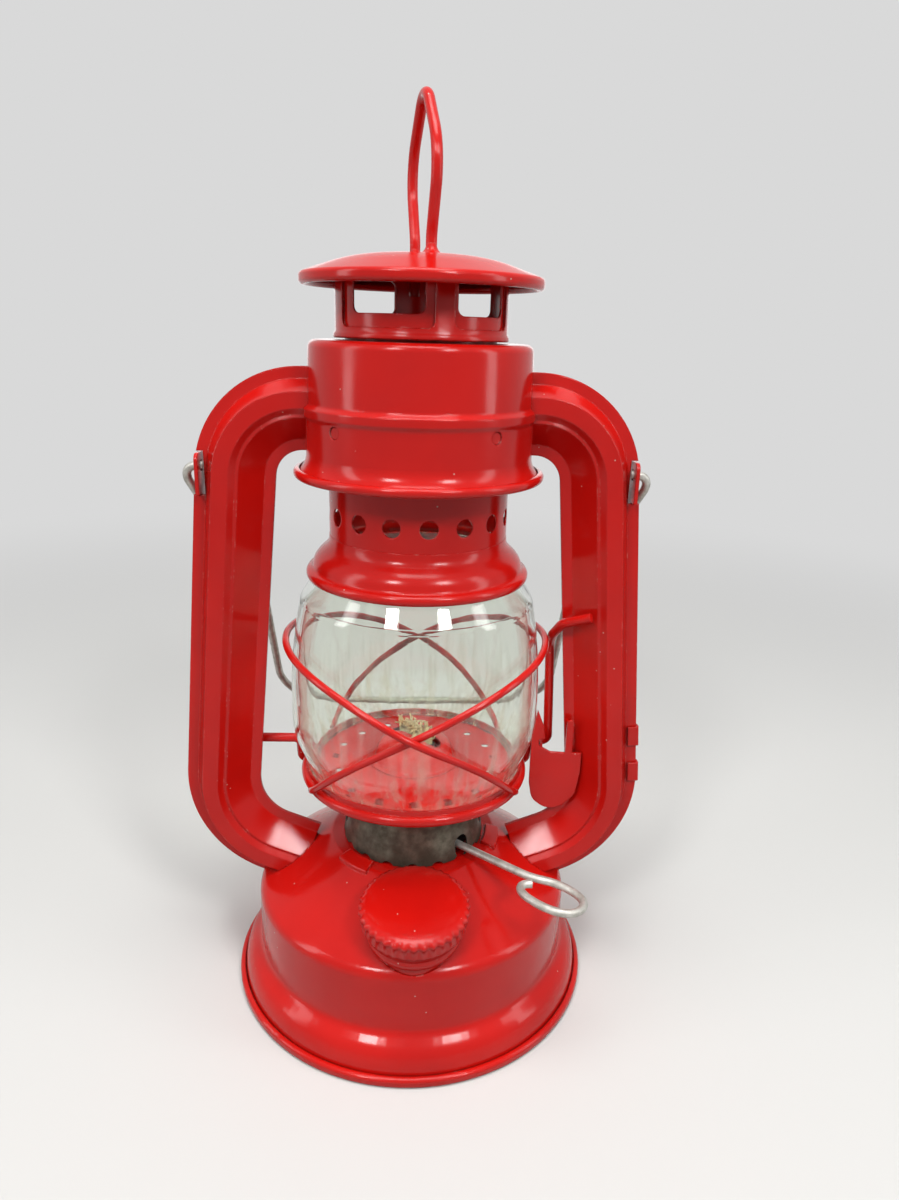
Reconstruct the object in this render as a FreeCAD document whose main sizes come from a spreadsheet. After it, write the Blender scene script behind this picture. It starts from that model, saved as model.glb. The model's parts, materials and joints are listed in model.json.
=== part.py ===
import FreeCAD, Part
import Sketcher
import math
import os
from FreeCAD import Placement, Rotation, Vector

# Hurricane lantern in millimetres. The origin is the centre of the foot's underside, +Z points up
# and the fuel cap faces -Y. Heights are built up from the foot, each piece from the one below it.

doc = FreeCAD.newDocument("HurricaneLantern")

# Driving dimensions

SIZES = {
    # sheet and fits
    "sheet": 0.5,
    "fit": 0.1,
    "seat": 0.3,
    # tank
    "foot_r": 55.0,
    "foot_bead_high": 3.0,
    "hem_lap": 1.5,
    "flare_r": 53.2,
    "flange_z": 1.9,
    "wall_r": 47.8,
    "flare_top_z": 10.8,
    "flare_round": 14.0,
    "shoulder_z": 30.8,
    "shoulder_round": 4.0,
    "plateau_r": 25.2,
    "plateau_z": 46.3,
    "opening_r": 15.3,
    "opening_lip": 3.8,
    "bottom_wall_r": 50.4,
    "bottom_high": 3.6,
    "lug_from_r": 22.6,
    "lug_to_r": 27.0,
    "lug_high": 1.3,
    "lug_span": 24.0,
    "lug_turn": 108.0,
    "lugs": 3,
    # fuel cap, neck and gasket
    "cap_x": 0.7,
    "cap_y": -37.3,
    "cap_z": 46.4,
    "cap_tilt": 7.2,
    "cap_r": 15.3,
    "cap_wall": 0.8,
    "cap_high": 5.3,
    "cap_dome": 1.0,
    "cap_round": 1.2,
    "flute_r": 1.1,
    "flute_deep": 0.35,
    "flutes": 24,
    "thread_r": 14.1,
    "neck_r": 11.6,
    "neck_deep": 15.8,
    "gasket": 1.5,
    "recess_gap": 0.7,
    # burner
    "burner_az": 51.0,
    "base_r": 17.5,
    "base_sheet": 0.6,
    "collar_low_r": 21.6,
    "collar_waist_r": 20.2,
    "collar_waist_up": 11.0,
    "collar_up": 17.4,
    "collar_lift": 0.3,
    "scallop_r": 2.0,
    "scallops": 18,
    "slot_wide": 5.0,
    "slot_up": 7.0,
    "inlet_wide": 12.0,
    "inlet_high": 7.0,
    "deck_up": 13.4,
    "deck_hole_r": 1.2,
    "deck_holes": 16,
    "deck_ring_r": 15.5,
    "wick_wide": 12.4,
    "wick_thick": 1.7,
    "wick_top_z": 81.5,
    "wick_tail_z": 18.0,
    "wick_off": 0.5,
    "wick_tube_wide": 13.6,
    "wick_tube_thick": 2.9,
    "wick_tube_wall": 0.4,
    "wick_tube_top_z": 77.5,
    "wick_tube_low": 3.2,
    # adjuster
    "shaft_up": 3.6,
    "shaft_off": 2.9,
    "shaft_r": 1.1,
    "shaft_back": 8.0,
    "eye_from": 45.3,
    "eye_long": 15.5,
    "eye_wide": 8.0,
    "spur_r": 2.4,
    "spur_thick": 1.2,
    "spur_teeth": 10,
    "spur_pitch": 3.6,
    "spurs": 3,
    # globe plate and burner cone
    "plate_r": 34.1,
    "plate_up": 6.5,
    "bead_round": 1.4,
    "bead_high": 3.0,
    "plate_hole_r": 10.6,
    "plate_skirt_r": 21.1,
    "plate_skirt_low": 7.8,
    "skirt_notch": 9.8,
    "globe_ring_r": 32.6,
    "globe_ring_high": 1.6,
    "vents": 16,
    "vent_r": 1.2,
    "vent_ring_r": 24.5,
    "cone_r": 14.0,
    "cone_dome_r": 12.2,
    "cone_high": 9.0,
    "flame_long": 18.0,
    "flame_wide": 5.0,
    # globe
    "glass": 2.0,
    "globe_foot_r": 31.8,
    "globe_foot_high": 1.6,
    "globe_foot_round": 2.5,
    "globe_belly_r": 36.3,
    "globe_low_up": 12.6,
    "globe_low_round": 20.0,
    "globe_high_up": 36.5,
    "globe_high_round": 140.0,
    "globe_shoulder_r": 33.1,
    "globe_shoulder_up": 52.6,
    "globe_shoulder_round": 5.0,
    "globe_neck_r": 27.4,
    "globe_neck_up": 61.7,
    "globe_neck_round": 2.5,
    "globe_high": 64.7,
    # guards
    "guard_wire_r": 1.0,
    "guard_r": 38.3,
    "guard_side_r": 37.5,
    "guard_step": 2.1,
    "guard_step_az": 22.0,
    "guard_mid_up": 25.8,
    "guard_rise": 20.5,
    "guard_sag": 5.6,
    "guard_weld_az": 56.0,
    "guard_weld_r": 34.9,
    "guard_weld_up": 0.1,
    # chimney
    "bell_r": 31.2,
    "bell_bead": 2.2,
    "bell_bead_round": 0.8,
    "bell_curl_r": 29.6,
    "bell_curl_round": 0.7,
    "bell_throat_r": 29.1,
    "bell_throat_drop": 2.0,
    "bell_drop": 5.9,
    "bell_top_r": 28.2,
    "bell_top_up": 0.4,
    "bell_round": 2.5,
    "bell_shoulder_up": 3.1,
    "neck_pipe_r": 24.6,
    "neck_pipe_high": 24.3,
    "neck_lap": 4.6,
    "draught_holes": 16,
    "draught_hole_r": 2.4,
    "draught_up": 8.9,
    "draught_turn": 6.5,
    "chimney_r": 19.9,
    "chimney_low": 14.0,
    # drum
    "drum_up": 21.9,
    "drum_flare_r": 34.0,
    "drum_flare_round": 1.1,
    "drum_flare_high": 2.5,
    "drum_sweep_up": 4.3,
    "drum_sweep_round": 5.5,
    "drum_sweep_end_r": 33.1,
    "drum_sweep_end_up": 1.0,
    "drum_low_r": 30.5,
    "drum_bead_r": 31.15,
    "drum_bead_up": 17.3,
    "drum_bead_high": 2.0,
    "drum_high_r": 29.4,
    "drum_high": 35.3,
    "drum_round": 2.0,
    "dimple_r": 1.6,
    "dimple_deep": 0.35,
    "dimple_up": 13.6,
    "dimple_left_az": -43.4,
    "dimple_right_az": 38.2,
    # chimney spring
    "spring_r": 22.5,
    "spring_wire_r": 0.6,
    "spring_turns": 5.0,
    # side tubes
    "tube_wide": 22.0,
    "tube_flange": 3.0,
    "tube_deep": 7.3,
    "tube_slope_end": 9.2,
    "tube_slope_deep": 6.3,
    "tube_groove": 0.8,
    "tube_groove_deep": 0.3,
    "tube_crest_from": 11.6,
    "tube_crest_to": 16.0,
    "tube_outer_flange": 3.2,
    "tube_seam": 0.05,
    "tube_up": 17.4,
    "tube_start_x": 28.6,
    "tube_top_x": 48.5,
    "tube_top_bend": 18.5,
    "tube_lean": 4.93,
    "tube_corner_z": 47.6,
    "tube_low_bend": 24.2,
    "tube_droop": 22.0,
    "tube_end_x": 33.1,
    # bail
    "bail_wire_r": 1.2,
    "bail_pivot_drop": 15.8,
    "bail_side_out": 2.7,
    "bail_hook_in": 4.95,
    "bail_hook_long": 4.5,
    "bail_waist_x": 47.5,
    "bail_waist": 46.0,
    "bail_corner_x": 46.0,
    "bail_arm": 97.0,
    "bail_hook_bend": 3.2,
    "bail_waist_bend": 20.0,
    "bail_corner_bend": 16.0,
    "bail_rest": 25.0,
    "ear_hole_r": 1.6,
    "ear_thick": 1.0,
    "ear_inset": 1.66,
    "ear_foot": 0.6,
    "ear_round": 2.0,
    "ear_high": 11.6,
    "ear_wide": 8.0,
    "pocket_high": 12.0,
    "pocket_wall": 2.1,
    # lift lever and its bracket
    "lever_wire_r": 1.4,
    "lever_y": 5.6,
    "lever_up": 8.4,
    "lever_back": 2.6,
    "lever_arm_x": 35.4,
    "lever_rod_x": 41.7,
    "lever_bend": 2.0,
    "lever_top_x": 40.4,
    "lever_top_up": 32.6,
    "lever_end_x": 55.8,
    "lever_hole_deep": 6.5,
    "handle_long": 9.0,
    "hook_sheet": 1.0,
    "hook_left_x": 35.3,
    "hook_y": -2.3,
    "hook_wide": 15.5,
    "hook_low": 20.8,
    "hook_neck_wide": 2.3,
    "hook_lip_up": 4.9,
    "hook_top_up": 14.2,
    "hook_tab_x": 10.5,
    "hook_tab_wide": 2.1,
    "hook_tab_high": 11.0,
    "hook_ear_x": 2.7,
    "hook_ear_r": 3.1,
    "clip_high": 6.2,
    "clip_low_z": 64.0,
    "clip_pitch": 12.2,
    "clip_sheet": 0.6,
    "clip_long": 2.7,
    # hood
    "skirt_r": 22.4,
    "skirt_high": 17.7,
    "skirt_bead_r": 22.9,
    "skirt_bead_high": 1.2,
    "skirt_gap": 0.5,
    "window_low": 6.4,
    "window_high": 8.8,
    "window_round": 1.7,
    "window_wide": 20.0,
    "window_narrow": 15.3,
    "window_left_az": -27.5,
    "window_right_az": 40.0,
    "window_back_az": -131.5,
    "hood_r": 31.4,
    "hood_dome_r": 17.0,
    "hood_dome_round": 44.0,
    "hood_drop": 5.0,
    "hood_bead_high": 2.8,
    "hood_bead_wide": 2.3,
    "hood_bead_round": 1.1,
    "hood_up": 20.4,
    # lift ring
    "ring_wire_r": 1.4,
    "ring_tip_up": 39.2,
    "ring_tip_bend": 6.0,
    "ring_wide_up": 21.5,
    "ring_waist_up": 4.0,
    "ring_half_wide": 15.8,
    "ring_leg_half": 9.5,
    "ring_leg_down": 9.5,
    "ring_turn": 12.5,
}

table = doc.addObject("Spreadsheet::Sheet", "Sizes")
for row, (alias, number) in enumerate(SIZES.items(), 1):
    table.set("A%d" % row, alias.replace("_", " "))
    table.set("B%d" % row, str(number))
    table.setAlias("B%d" % row, alias)
doc.recompute()


# A size is a number together with the expression that gives it in the spreadsheet

class Size:
    def __init__(self, value, text):
        self.value = float(value)
        self.text = text

    def __float__(self):
        return self.value

    def __add__(self, other):
        other = as_size(other)
        return Size(self.value + other.value, "(%s + %s)" % (self.text, other.text))

    def __sub__(self, other):
        other = as_size(other)
        return Size(self.value - other.value, "(%s - %s)" % (self.text, other.text))

    def __mul__(self, other):
        other = as_size(other)
        return Size(self.value * other.value, "(%s * %s)" % (self.text, other.text))

    def __truediv__(self, other):
        other = as_size(other)
        return Size(self.value / other.value, "(%s / %s)" % (self.text, other.text))

    def __radd__(self, other):
        return as_size(other) + self

    def __rsub__(self, other):
        return as_size(other) - self

    def __rmul__(self, other):
        return as_size(other) * self

    def __neg__(self):
        return Size(-self.value, "(-%s)" % self.text)


def as_size(number):
    if isinstance(number, Size):
        return number
    return Size(number, repr(float(number)))


class Driving:
    def __getattr__(self, alias):
        return Size(float(table.get(alias)), "Sizes." + alias)


s = Driving()


def sine(angle):
    angle = as_size(angle)
    return Size(math.sin(math.radians(angle.value)), "sin(%s * 1 deg)" % angle.text)


def cosine(angle):
    angle = as_size(angle)
    return Size(math.cos(math.radians(angle.value)), "cos(%s * 1 deg)" % angle.text)


def bind(thing, name, size):
    """Give a property its size and the expression that keeps it."""
    size = as_size(size)
    thing.setExpression(name, size.text)


def spot(x, y, z=0):
    return Vector(float(x), float(y), float(z))


# Sketches

def new_body(label):
    body = doc.addObject("PartDesign::Body", label)
    body.Label = label
    return body


def new_sketch(body, plane, name, up=None, turn=None):
    """A sketch on one of the body's origin planes, raised along or turned about it."""
    sketch = body.newObject("Sketcher::SketchObject", body.Name + "_" + name)
    face = [item for item in body.Origin.OriginFeatures if item.Role == plane][0]
    sketch.AttachmentSupport = [(face, "")]
    sketch.MapMode = "FlatFace"
    if turn is None:
        if up is not None:
            bind(sketch, "AttachmentOffset.Base.z", up)
        return sketch
    sketch.AttachmentOffset = Placement(Vector(), Rotation(Vector(0, 1, 0), float(turn)))
    bind(sketch, "AttachmentOffset.Rotation.Angle", turn)
    if up is not None:
        bind(sketch, "AttachmentOffset.Base.x", up * sine(turn))
        bind(sketch, "AttachmentOffset.Base.z", up * cosine(turn))
    return sketch


def fix_point(sketch, geometry, point, x, y):
    """Hold a point of the sketch at x and y from the sketch's origin."""
    for kind, size in (("DistanceX", as_size(x)), ("DistanceY", as_size(y))):
        index = sketch.addConstraint(Sketcher.Constraint(kind, -1, 1, geometry, point, size.value))
        sketch.setExpression("Constraints[%d]" % index, size.text)


def fix_radius(sketch, geometry, size):
    index = sketch.addConstraint(Sketcher.Constraint("Radius", geometry, float(size)))
    sketch.setExpression("Constraints[%d]" % index, as_size(size).text)


def round_corner(before, corner, after, radius):
    """Tangent points and centre of an arc in the corner, and whether it turns left."""
    back = (before - corner).normalize()
    ahead = (after - corner).normalize()
    half = back.getAngle(ahead) / 2
    reach = radius / math.tan(half)
    centre = corner + (back + ahead).normalize() * (radius / math.sin(half))
    turns_left = (corner - before).cross(after - corner).z > 0
    return corner + back * reach, corner + ahead * reach, centre, turns_left


def add_arc(sketch, start, end, centre, radius, turns_left):
    """An arc from start to end; returns its number and its point numbers at start and end."""
    first, last = (start, end) if turns_left else (end, start)
    from_angle = math.atan2(first.y - centre.y, first.x - centre.x)
    to_angle = math.atan2(last.y - centre.y, last.x - centre.x)
    circle = Part.Circle(centre, Vector(0, 0, 1), radius)
    number = sketch.addGeometry(Part.ArcOfCircle(circle, from_angle, to_angle), False)
    return (number, 1, 2) if turns_left else (number, 2, 1)


def chain(sketch, corners, radii, closed):
    """Lines through the corners with tangent arcs in them. Returns the line numbers."""
    count = len(corners)
    runs = count if closed else count - 1
    arcs = {}
    starts = list(corners)
    ends = list(corners)
    for i in range(count):
        at_end = not closed and i in (0, count - 1)
        if radii[i] and not at_end:
            before = corners[i - 1]
            after = corners[(i + 1) % count]
            arcs[i] = round_corner(before, corners[i], after, float(radii[i]))
            ends[i] = arcs[i][0]
            starts[i] = arcs[i][1]
    lines = []
    for i in range(runs):
        segment = Part.LineSegment(starts[i], ends[(i + 1) % count])
        lines.append(sketch.addGeometry(segment, False))
    for i in range(count):
        if not closed and i in (0, count - 1):
            continue
        before = lines[i - 1]
        after = lines[i % runs]
        if i in arcs:
            start, end, centre, turns_left = arcs[i]
            arc, first, last = add_arc(sketch, start, end, centre, float(radii[i]), turns_left)
            sketch.addConstraint(Sketcher.Constraint("Tangent", before, 2, arc, first))
            sketch.addConstraint(Sketcher.Constraint("Tangent", arc, last, after, 1))
            fix_radius(sketch, arc, radii[i])
        else:
            sketch.addConstraint(Sketcher.Constraint("Coincident", before, 2, after, 1))
    return lines, arcs


def outline(sketch, points, closed=True):
    """Corner points (x, y) or (x, y, rounding radius), each held by its own two sizes."""
    corners = [spot(point[0], point[1]) for point in points]
    radii = [point[2] if len(point) > 2 else None for point in points]
    lines, arcs = chain(sketch, corners, radii, closed)
    count = len(points)
    for i, point in enumerate(points):
        line = lines[i] if i < len(lines) else lines[-1]
        end = 1 if i < len(lines) else 2
        if i in arcs:
            mark = sketch.addGeometry(Part.Point(corners[i]), True)
            fix_point(sketch, mark, 1, point[0], point[1])
            sketch.addConstraint(Sketcher.Constraint("PointOnObject", mark, 1, lines[i - 1]))
            sketch.addConstraint(Sketcher.Constraint("PointOnObject", mark, 1, lines[i % len(lines)]))
        else:
            fix_point(sketch, line, end, point[0], point[1])
    return lines, count


def sheet_outline(sketch, points, wall, side=1):
    """Sheet metal: an open run of points with the wall laid on its left (side 1) or right (side -1)."""
    lines, count = outline(sketch, points, closed=False)
    corners = [spot(point[0], point[1]) for point in points]
    radii = [point[2] if len(point) > 2 else None for point in points]
    thick = float(wall)
    normals = []
    for i in range(count - 1):
        along = (corners[i + 1] - corners[i]).normalize()
        normals.append(Vector(-along.y, along.x, 0) * side)
    moved = [corners[0] + normals[0] * thick]
    inner_radii = [None]
    for i in range(1, count - 1):
        bisector = (normals[i - 1] + normals[i]).normalize()
        moved.append(corners[i] + bisector * (thick / bisector.dot(normals[i])))
        turns_left = (corners[i] - corners[i - 1]).cross(corners[i + 1] - corners[i]).z > 0
        inside = turns_left == (side > 0)
        radius = None
        if radii[i] and inside and float(radii[i]) > thick:
            radius = as_size(radii[i]) - wall
        elif radii[i] and not inside:
            radius = as_size(radii[i]) + wall
        inner_radii.append(radius)
    moved.append(corners[-1] + normals[-1] * thick)
    inner_radii.append(None)
    inner, _ = chain(sketch, moved, inner_radii, closed=False)
    for line, twin in zip(lines, inner):
        sketch.addConstraint(Sketcher.Constraint("Parallel", line, twin))
        index = sketch.addConstraint(Sketcher.Constraint("Distance", twin, 1, line, thick))
        sketch.setExpression("Constraints[%d]" % index, as_size(wall).text)
    for corner, twin, line, other, end in ((corners[0], moved[0], lines[0], inner[0], 1),
                                           (corners[-1], moved[-1], lines[-1], inner[-1], 2)):
        cap = sketch.addGeometry(Part.LineSegment(corner, twin), False)
        sketch.addConstraint(Sketcher.Constraint("Coincident", cap, 1, line, end))
        sketch.addConstraint(Sketcher.Constraint("Coincident", cap, 2, other, end))
        sketch.addConstraint(Sketcher.Constraint("Perpendicular", cap, line))


# Features

def revolve(body, sketch, angle=360.0, middle=False):
    feature = body.newObject("PartDesign::Revolution", sketch.Name + "_turned")
    feature.Profile = sketch
    feature.ReferenceAxis = (sketch, ["V_Axis"])
    feature.Midplane = middle
    bind(feature, "Angle", angle)
    return feature


def turned(label, points, wall=None, side=1):
    """A body of revolution about Z: a solid outline, or sheet metal where a wall is given."""
    body = new_body(label)
    profile = new_sketch(body, "XZ_Plane", "profile")
    if wall is None:
        outline(profile, points)
    else:
        sheet_outline(profile, points, wall, side)
    revolve(body, profile)
    doc.recompute()
    return body


def cut_through(body, sketch, length=None, both=False, flip=False):
    """A pocket through all, or as deep as length; it must take material away."""
    doc.recompute()
    before = body.Shape.Volume
    feature = body.newObject("PartDesign::Pocket", sketch.Name + "_cut")
    feature.Profile = sketch
    feature.Reversed = flip
    if length is None:
        feature.Type = "ThroughAll"
        feature.Midplane = both
    else:
        bind(feature, "Length", length)
    doc.recompute()
    if body.Shape.Volume >= before:
        raise ValueError(sketch.Name + " cuts nothing")
    return feature


def pad(body, sketch, length, both=False, flip=False):
    feature = body.newObject("PartDesign::Pad", sketch.Name + "_pad")
    feature.Profile = sketch
    feature.Midplane = both
    feature.Reversed = flip
    bind(feature, "Length", length)
    doc.recompute()
    return feature


def ring_of(body, feature, sketch, copies, span=360.0):
    """Repeat a feature round Z."""
    pattern = body.newObject("PartDesign::PolarPattern", feature.Name + "_ring")
    pattern.Originals = [feature]
    pattern.Axis = (sketch, ["V_Axis"])
    pattern.Angle = span
    bind(pattern, "Occurrences", copies)
    body.Tip = pattern
    doc.recompute()
    return pattern


def circle(sketch, x, y, radius):
    number = sketch.addGeometry(Part.Circle(spot(x, y), Vector(0, 0, 1), float(radius)), False)
    fix_point(sketch, number, 3, x, y)
    fix_radius(sketch, number, radius)


def slot(sketch, x, y, long, wide, upright=False):
    """A stadium hole of overall length and width about its middle."""
    half = (as_size(long) - wide) / 2
    round_end = as_size(wide) / 2
    x = as_size(x)
    y = as_size(y)
    if upright:
        ends = [(x, y - half), (x, y + half)]
        sides = [(x + round_end, y - half), (x + round_end, y + half),
                 (x - round_end, y + half), (x - round_end, y - half)]
        angles = [(math.pi, 2 * math.pi), (0, math.pi)]
    else:
        ends = [(x - half, y), (x + half, y)]
        sides = [(x - half, y - round_end), (x + half, y - round_end),
                 (x + half, y + round_end), (x - half, y + round_end)]
        angles = [(math.pi / 2, 3 * math.pi / 2), (-math.pi / 2, math.pi / 2)]
    first = sketch.addGeometry(Part.LineSegment(spot(*sides[0]), spot(*sides[1])), False)
    second = sketch.addGeometry(Part.LineSegment(spot(*sides[2]), spot(*sides[3])), False)
    arcs = []
    for end, (start, stop) in zip(ends, angles):
        ring = Part.Circle(spot(*end), Vector(0, 0, 1), float(round_end))
        arcs.append(sketch.addGeometry(Part.ArcOfCircle(ring, start, stop), False))
    for arc, line_in, line_out in ((arcs[1], first, second), (arcs[0], second, first)):
        sketch.addConstraint(Sketcher.Constraint("Tangent", line_in, 2, arc, 1))
        sketch.addConstraint(Sketcher.Constraint("Tangent", arc, 2, line_out, 1))
    for arc, end in zip(arcs, ends):
        fix_point(sketch, arc, 3, *end)
    fix_radius(sketch, arcs[0], round_end)
    sketch.addConstraint(Sketcher.Constraint("Equal", arcs[0], arcs[1]))


# Bent wires

def run_edges(points, bends):
    """Straight runs through the points with a tangent arc at each one between, of the given radii."""
    edges = []
    start = points[0]
    for before, corner, after, radius in zip(points, points[1:], points[2:], bends):
        back = (before - corner).normalize()
        ahead = (after - corner).normalize()
        half = back.getAngle(ahead) / 2
        reach = float(radius) / math.tan(half)
        middle = (back + ahead).normalize()
        centre = corner + middle * (float(radius) / math.sin(half))
        first = corner + back * reach
        last = corner + ahead * reach
        edges.append(Part.LineSegment(start, first).toShape())
        edges.append(Part.Arc(first, centre - middle * float(radius), last).toShape())
        start = last
    edges.append(Part.LineSegment(start, points[-1]).toShape())
    return edges


def arc_between(start, along, end):
    """The arc that leaves start in the direction along and ends at end."""
    chord = end - start
    sideways = chord - along * chord.dot(along)
    if sideways.Length < 1e-6 * chord.Length:
        return Part.LineSegment(start, end).toShape()
    sagitta = chord.Length / 2 * math.tan(along.getAngle(chord) / 2)
    straight = Vector(chord).normalize()
    outward = (along - straight * along.dot(straight)).normalize()
    return Part.Arc(start, (start + end) / 2 + outward * sagitta, end).toShape()


def biarc_edges(points, tangents):
    """A smooth run through the points: two tangent arcs between each neighbouring pair."""
    edges = []
    for start, end, leave, arrive in zip(points, points[1:], tangents, tangents[1:]):
        gap = end - start
        both = leave + arrive
        spread = 2 * (1 - leave.dot(arrive))
        reach = gap.dot(gap) / (2 * gap.dot(both))
        if spread > 1e-6:
            reach = (math.sqrt(gap.dot(both) ** 2 + spread * gap.dot(gap)) - gap.dot(both)) / spread
        joint = (start + end + (leave - arrive) * reach) / 2
        edges.append(arc_between(start, leave, joint))
        edges.append(arc_between(end, arrive * -1, joint).reversed())
    return edges


def swept_wire(edges, radius):
    """A round wire of the given radius along the edges."""
    path = Part.Wire(edges)
    start = edges[0].valueAt(edges[0].FirstParameter)
    along = edges[0].tangentAt(edges[0].FirstParameter)
    section = Part.Wire([Part.Circle(start, along, float(radius)).toShape()])
    solid = path.makePipeShell([section], True, False)
    expected = math.pi * float(radius) ** 2 * path.Length
    if abs(solid.Volume - expected) > 0.03 * expected:
        raise ValueError("wire volume %.1f, expected %.1f" % (solid.Volume, expected))
    return solid


def shaped(label, shape):
    feature = doc.addObject("Part::Feature", label)
    feature.Label = label
    feature.Shape = shape
    return feature


def cut(label, base, tool):
    feature = doc.addObject("Part::Cut", label)
    feature.Label = label
    feature.Base = base
    feature.Tool = tool
    doc.recompute()
    if feature.Shape.Volume >= base.Shape.Volume:
        raise ValueError(label + " cuts nothing")
    return feature


def fuse(label, pieces):
    feature = doc.addObject("Part::MultiFuse", label)
    feature.Label = label
    feature.Shapes = pieces
    doc.recompute()
    return feature


def common(label, first, second):
    feature = doc.addObject("Part::Common", label)
    feature.Label = label
    feature.Base = first
    feature.Tool = second
    doc.recompute()
    return feature


def cylinder(label, radius, length):
    rod = doc.addObject("Part::Cylinder", label)
    bind(rod, "Radius", radius)
    bind(rod, "Height", length)
    return rod


# Heights, each from the piece below

collar_low = s.plateau_z + s.collar_lift
collar_top = collar_low + s.collar_up
plate_top = collar_top + s.plate_up
deck_top = collar_low + s.deck_up
shaft_z = s.plateau_z + s.shaft_up
globe_low = plate_top + s.seat
globe_top = globe_low + s.globe_high
shoulder_top = globe_top + s.bell_shoulder_up
neck_pipe_low = shoulder_top + s.seat
neck_pipe_top = neck_pipe_low + s.neck_pipe_high
drum_low = globe_top + s.drum_up
drum_top = drum_low + s.drum_high
tube_top = drum_low + s.tube_up
pivot_z = tube_top - s.bail_pivot_drop
lever_z = plate_top - s.bead_high - s.seat - s.lever_wire_r + s.lever_up
skirt_low = drum_top + s.skirt_gap
hood_top = skirt_low + s.hood_up


def along_cap(up):
    """A point on the fuel cap's axis, measured up from the centre of its top rim."""
    return s.cap_x, s.cap_y - sine(s.cap_tilt) * up, s.cap_z + cosine(s.cap_tilt) * up


def place(piece, x, y, z, axis=Vector(0, 0, 1), angle=0.0):
    piece.Placement = Placement(spot(x, y, z), Rotation(axis, float(angle)))
    bind(piece, "Placement.Base.x", x)
    bind(piece, "Placement.Base.y", y)
    bind(piece, "Placement.Base.z", z)
    bind(piece, "Placement.Rotation.Angle", angle)


def tilt_with_cap(piece, up=0.0):
    x, y, z = along_cap(up)
    place(piece, x, y, z, Vector(1, 0, 0), s.cap_tilt)


def turn_with_burner(piece):
    place(piece, 0, 0, 0, Vector(0, 0, 1), s.burner_az - 90)


# Tank

def tank_points():
    return [(s.foot_r - s.sheet * 1.8, s.flange_z),
            (s.flare_r, s.flange_z, s.sheet),
            (s.wall_r, s.flare_top_z, s.flare_round),
            (s.wall_r, s.shoulder_z, s.shoulder_round),
            (s.plateau_r, s.plateau_z, 1.5)]


def make_fount_shell():
    sheet_body = new_body("fount_sheet")
    profile = new_sketch(sheet_body, "XZ_Plane", "profile")
    lip = [(s.opening_r, s.plateau_z, 0.8), (s.opening_r, s.plateau_z - s.opening_lip)]
    sheet_outline(profile, tank_points() + lip, s.sheet)
    revolve(sheet_body, profile)
    doc.recompute()
    slope = (s.plateau_z - s.shoulder_z) / (s.wall_r - s.plateau_r)
    lug = new_sketch(sheet_body, "XZ_Plane", "lug", turn=s.lug_turn)
    low = s.plateau_z - (s.lug_to_r - s.plateau_r) * slope
    outline(lug, [(s.lug_from_r, s.plateau_z - s.sheet / 2), (s.lug_to_r, low - s.sheet),
                  (s.lug_to_r, low + s.lug_high, 0.5), (s.lug_from_r, s.plateau_z + s.lug_high, 0.5)])
    pressed = revolve(sheet_body, lug, s.lug_span, middle=True)
    doc.recompute()
    ring_of(sheet_body, pressed, profile, s.lugs)
    solid = new_body("fount_solid")
    full = new_sketch(solid, "XZ_Plane", "profile")
    outline(full, [(0, s.flange_z)] + tank_points() + [(0, s.plateau_z)])
    revolve(solid, full)
    doc.recompute()
    recess_r = s.cap_r + s.recess_gap
    floor = -(s.cap_high + s.recess_gap)
    cup = turned("recess_cup", [(recess_r, s.neck_deep), (recess_r, floor), (s.neck_r, floor)], s.sheet)
    tilt_with_cap(cup)
    pressed_cup = common("recess", cup, solid)
    joined = fuse("fount_joined", [sheet_body, pressed_cup])
    void = cylinder("recess_void", recess_r, s.neck_deep)
    tilt_with_cap(void, floor)
    opened = cut("fount_recessed", joined, void)
    neck_hole = cylinder("neck_hole", s.neck_r + s.fit, s.neck_deep * 2)
    tilt_with_cap(neck_hole, -s.neck_deep)
    return cut("fount_shell", opened, neck_hole)


def make_fount_bottom():
    hem_in = s.foot_r - s.hem_lap
    points = [(0, s.bottom_high), (s.bottom_wall_r, s.bottom_high, 1.0), (s.bottom_wall_r, 0, 0.6),
              (s.foot_r, 0, 1.0), (s.foot_r, s.foot_bead_high, 1.0), (hem_in, s.foot_bead_high)]
    return turned("fount_bottom", points, s.sheet)


# Fuel cap, neck and gasket, drawn upright about the cap's axis with the top rim at height 0

def make_filler_neck():
    thread_low = -s.cap_high
    thread_top = -(s.cap_wall + s.gasket + s.seat)
    points = [(s.neck_r, -s.neck_deep), (s.neck_r, thread_low, 0.6), (s.thread_r, thread_low + 0.4, 0.6),
              (s.thread_r, thread_top)]
    neck = turned("filler_neck", points, s.sheet)
    tilt_with_cap(neck)
    return neck


def make_cap():
    inner = s.cap_r - s.cap_wall
    body = new_body("fuel_cap")
    profile = new_sketch(body, "XZ_Plane", "profile")
    outline(profile, [(0, s.cap_dome), (s.cap_r / 2, s.cap_dome, 20.0), (s.cap_r, 0, s.cap_round),
                      (s.cap_r, -s.cap_high), (inner, -s.cap_high),
                      (inner, -s.cap_wall), (0, -s.cap_wall)])
    revolve(body, profile)
    flute = new_sketch(body, "XY_Plane", "flute", up=-s.cap_round)
    circle(flute, s.cap_r + s.flute_r - s.flute_deep, 0, s.flute_r)
    groove = cut_through(body, flute)
    ring_of(body, groove, profile, s.flutes)
    tilt_with_cap(body)
    return body


def make_gasket():
    body = turned("fuel_cap_gasket", [(0, -s.cap_wall), (s.cap_r - s.cap_wall - s.fit, -s.cap_wall),
                                      (s.cap_r - s.cap_wall - s.fit, -s.cap_wall - s.gasket),
                                      (0, -s.cap_wall - s.gasket)])
    tilt_with_cap(body)
    return body


# Burner

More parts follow.
